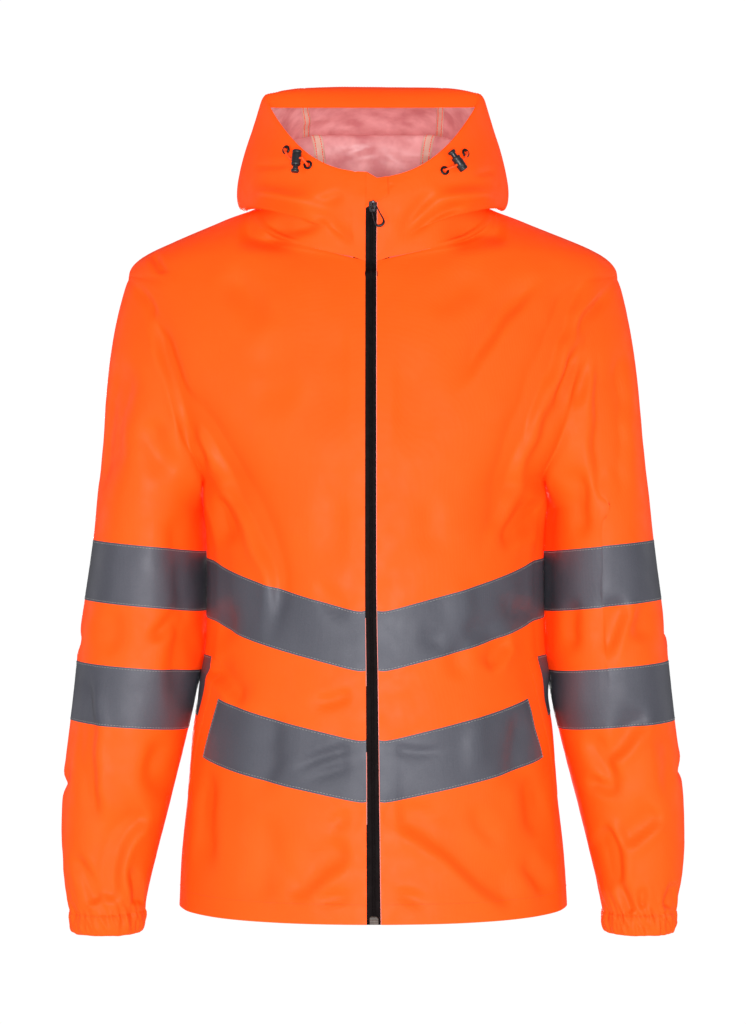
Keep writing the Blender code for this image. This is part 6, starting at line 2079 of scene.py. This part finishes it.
# ------------------------------------------------------------------ the cut of each cloth piece
Cut = namedtuple("Cut", "key width length area held on")
CUTS = []
for tag in ("left", "right"):
    CUTS += [
        Cut("front_" + tag, 0.290, 0.720, 0.152, "draped", ("back",)),
        Cut("sleeve_" + tag, 0.410, 0.660, 0.203, "draped", ("front_" + tag, "back")),
        Cut("hood_" + tag, 0.220, 0.290, 0.0455, "draped", ("front_" + tag, "back")),
        Cut("cuff_" + tag, 0.300, 0.041, None, "gathered", ("sleeve_" + tag,)),
        Cut("tape_front_upper_" + tag, 0.178, 0.062, 0.0108, "laid", ("front_" + tag,)),
        Cut("tape_front_lower_" + tag, 0.178, 0.062, 0.0108, "laid", ("front_" + tag,)),
        Cut("tape_sleeve_upper_" + tag, 0.400, 0.062, 0.0245, "laid", ("sleeve_" + tag,)),
        Cut("tape_sleeve_lower_" + tag, 0.390, 0.062, 0.0238, "laid", ("sleeve_" + tag,)),
        Cut("pocket_welt_" + tag, 0.019, 0.190, 0.0035, "laid", ("front_" + tag,)),
        Cut("zip_tape_" + tag, 0.017, 0.700, 0.0117, "laid", ("front_" + tag,)),
        Cut("seam_tape_" + tag, 0.011, 0.350, None, "laid", ("hood_" + tag,)),
    ]
CUTS += [
    Cut("back", 0.600, 0.740, 0.368, "draped", ("hood_centre",)),
    Cut("hood_centre", 0.190, 0.360, 0.0530, "draped", ("back",)),
    Cut("hood_brim", 0.285, 0.027, None, "folded", ("hood_centre",)),
    Cut("tape_back_upper", 0.560, 0.062, 0.0343, "laid", ("back",)),
    Cut("tape_back_lower", 0.575, 0.062, 0.0353, "laid", ("back",)),
    Cut("zip_garage", 0.022, 0.024, None, "folded", ("hood_left", "hood_right")),
    Cut("hanger_loop", 0.010, 0.070, None, "hung", ("hood_centre",)),
]

# ------------------------------------------------------------------ floor, light, world
FLOOR_Z = -1350.0
FLOOR_MAT, t, b = new_material("floor", (0.86, 0.86, 0.87), 0.8, spec=0.2)
t.links.new(ramp(t, noise_tex(t, 3.0, 2.0), [(0.3, (0.84, 0.84, 0.85)), (0.7, (0.88, 0.88, 0.89))]),
            b.inputs["Base Color"])
ring_r = 1750.0
verts = [(0, 0, FLOOR_Z)] + [(ring_r * math.cos(2 * math.pi * k / 96), ring_r * math.sin(2 * math.pi * k / 96),
                              FLOOR_Z) for k in range(96)]
faces = [(0, 1 + k, 1 + (k + 1) % 96) for k in range(96)]
floor = mesh_object("floor", verts, faces, [FLOOR_MAT], smooth=False)


def area_light(name, place, at, size, power_, colour=(1, 1, 1)):
    data = bpy.data.lights.new(name, "AREA")
    data.shape = "RECTANGLE"
    data.size, data.size_y = size
    data.energy = power_
    data.color = colour
    obj = bpy.data.objects.new(name, data)
    obj.location = place
    obj.rotation_euler = (Vector(at) - Vector(place)).to_track_quat("-Z", "Y").to_euler()
    scene.collection.objects.link(obj)
    return obj


area_light("softbox_front", (0.10, -3.7, -0.62), (0, 0, -0.30), (1.0, 1.0), 98.0)
area_light("softbox_left", (-2.3, -2.2, -0.5), (0, 0, -0.35), (1.0, 1.6), 16.0)
area_light("softbox_right", (2.3, -2.2, -0.5), (0, 0, -0.35), (1.0, 1.6), 14.0)
area_light("softbox_back", (-0.55, 3.6, -0.35), (0, 0, -0.32), (1.0, 1.0), 84.0)
area_light("softbox_side_left", (-3.2, 1.3, -0.1), (0, 0, -0.3), (1.2, 1.6), 9.0)
area_light("softbox_side_right", (3.2, 1.3, -0.1), (0, 0, -0.3), (1.2, 1.6), 8.0)

world = bpy.data.worlds.new("world")
scene.world = world
world.use_nodes = True
wt = world.node_tree
wt.nodes.clear()
out = wt.nodes.new("ShaderNodeOutputWorld")
mix = wt.nodes.new("ShaderNodeMixShader")
lit = wt.nodes.new("ShaderNodeBackground")
plain = wt.nodes.new("ShaderNodeBackground")
path = wt.nodes.new("ShaderNodeLightPath")
lit.inputs["Color"].default_value = (1.0, 1.0, 1.0, 1)
lit.inputs["Strength"].default_value = 0.23
plain.inputs["Color"].default_value = (1, 1, 1, 1)
plain.inputs["Strength"].default_value = 1.02
wt.links.new(path.outputs["Is Camera Ray"], mix.inputs["Fac"])
wt.links.new(lit.outputs["Background"], mix.inputs[1])
wt.links.new(plain.outputs["Background"], mix.inputs[2])
wt.links.new(mix.outputs["Shader"], out.inputs["Surface"])
scene.view_settings.view_transform = "Standard"
scene.view_settings.look = "None"
scene.view_settings.exposure = 0.0
scene.view_settings.gamma = 1.0
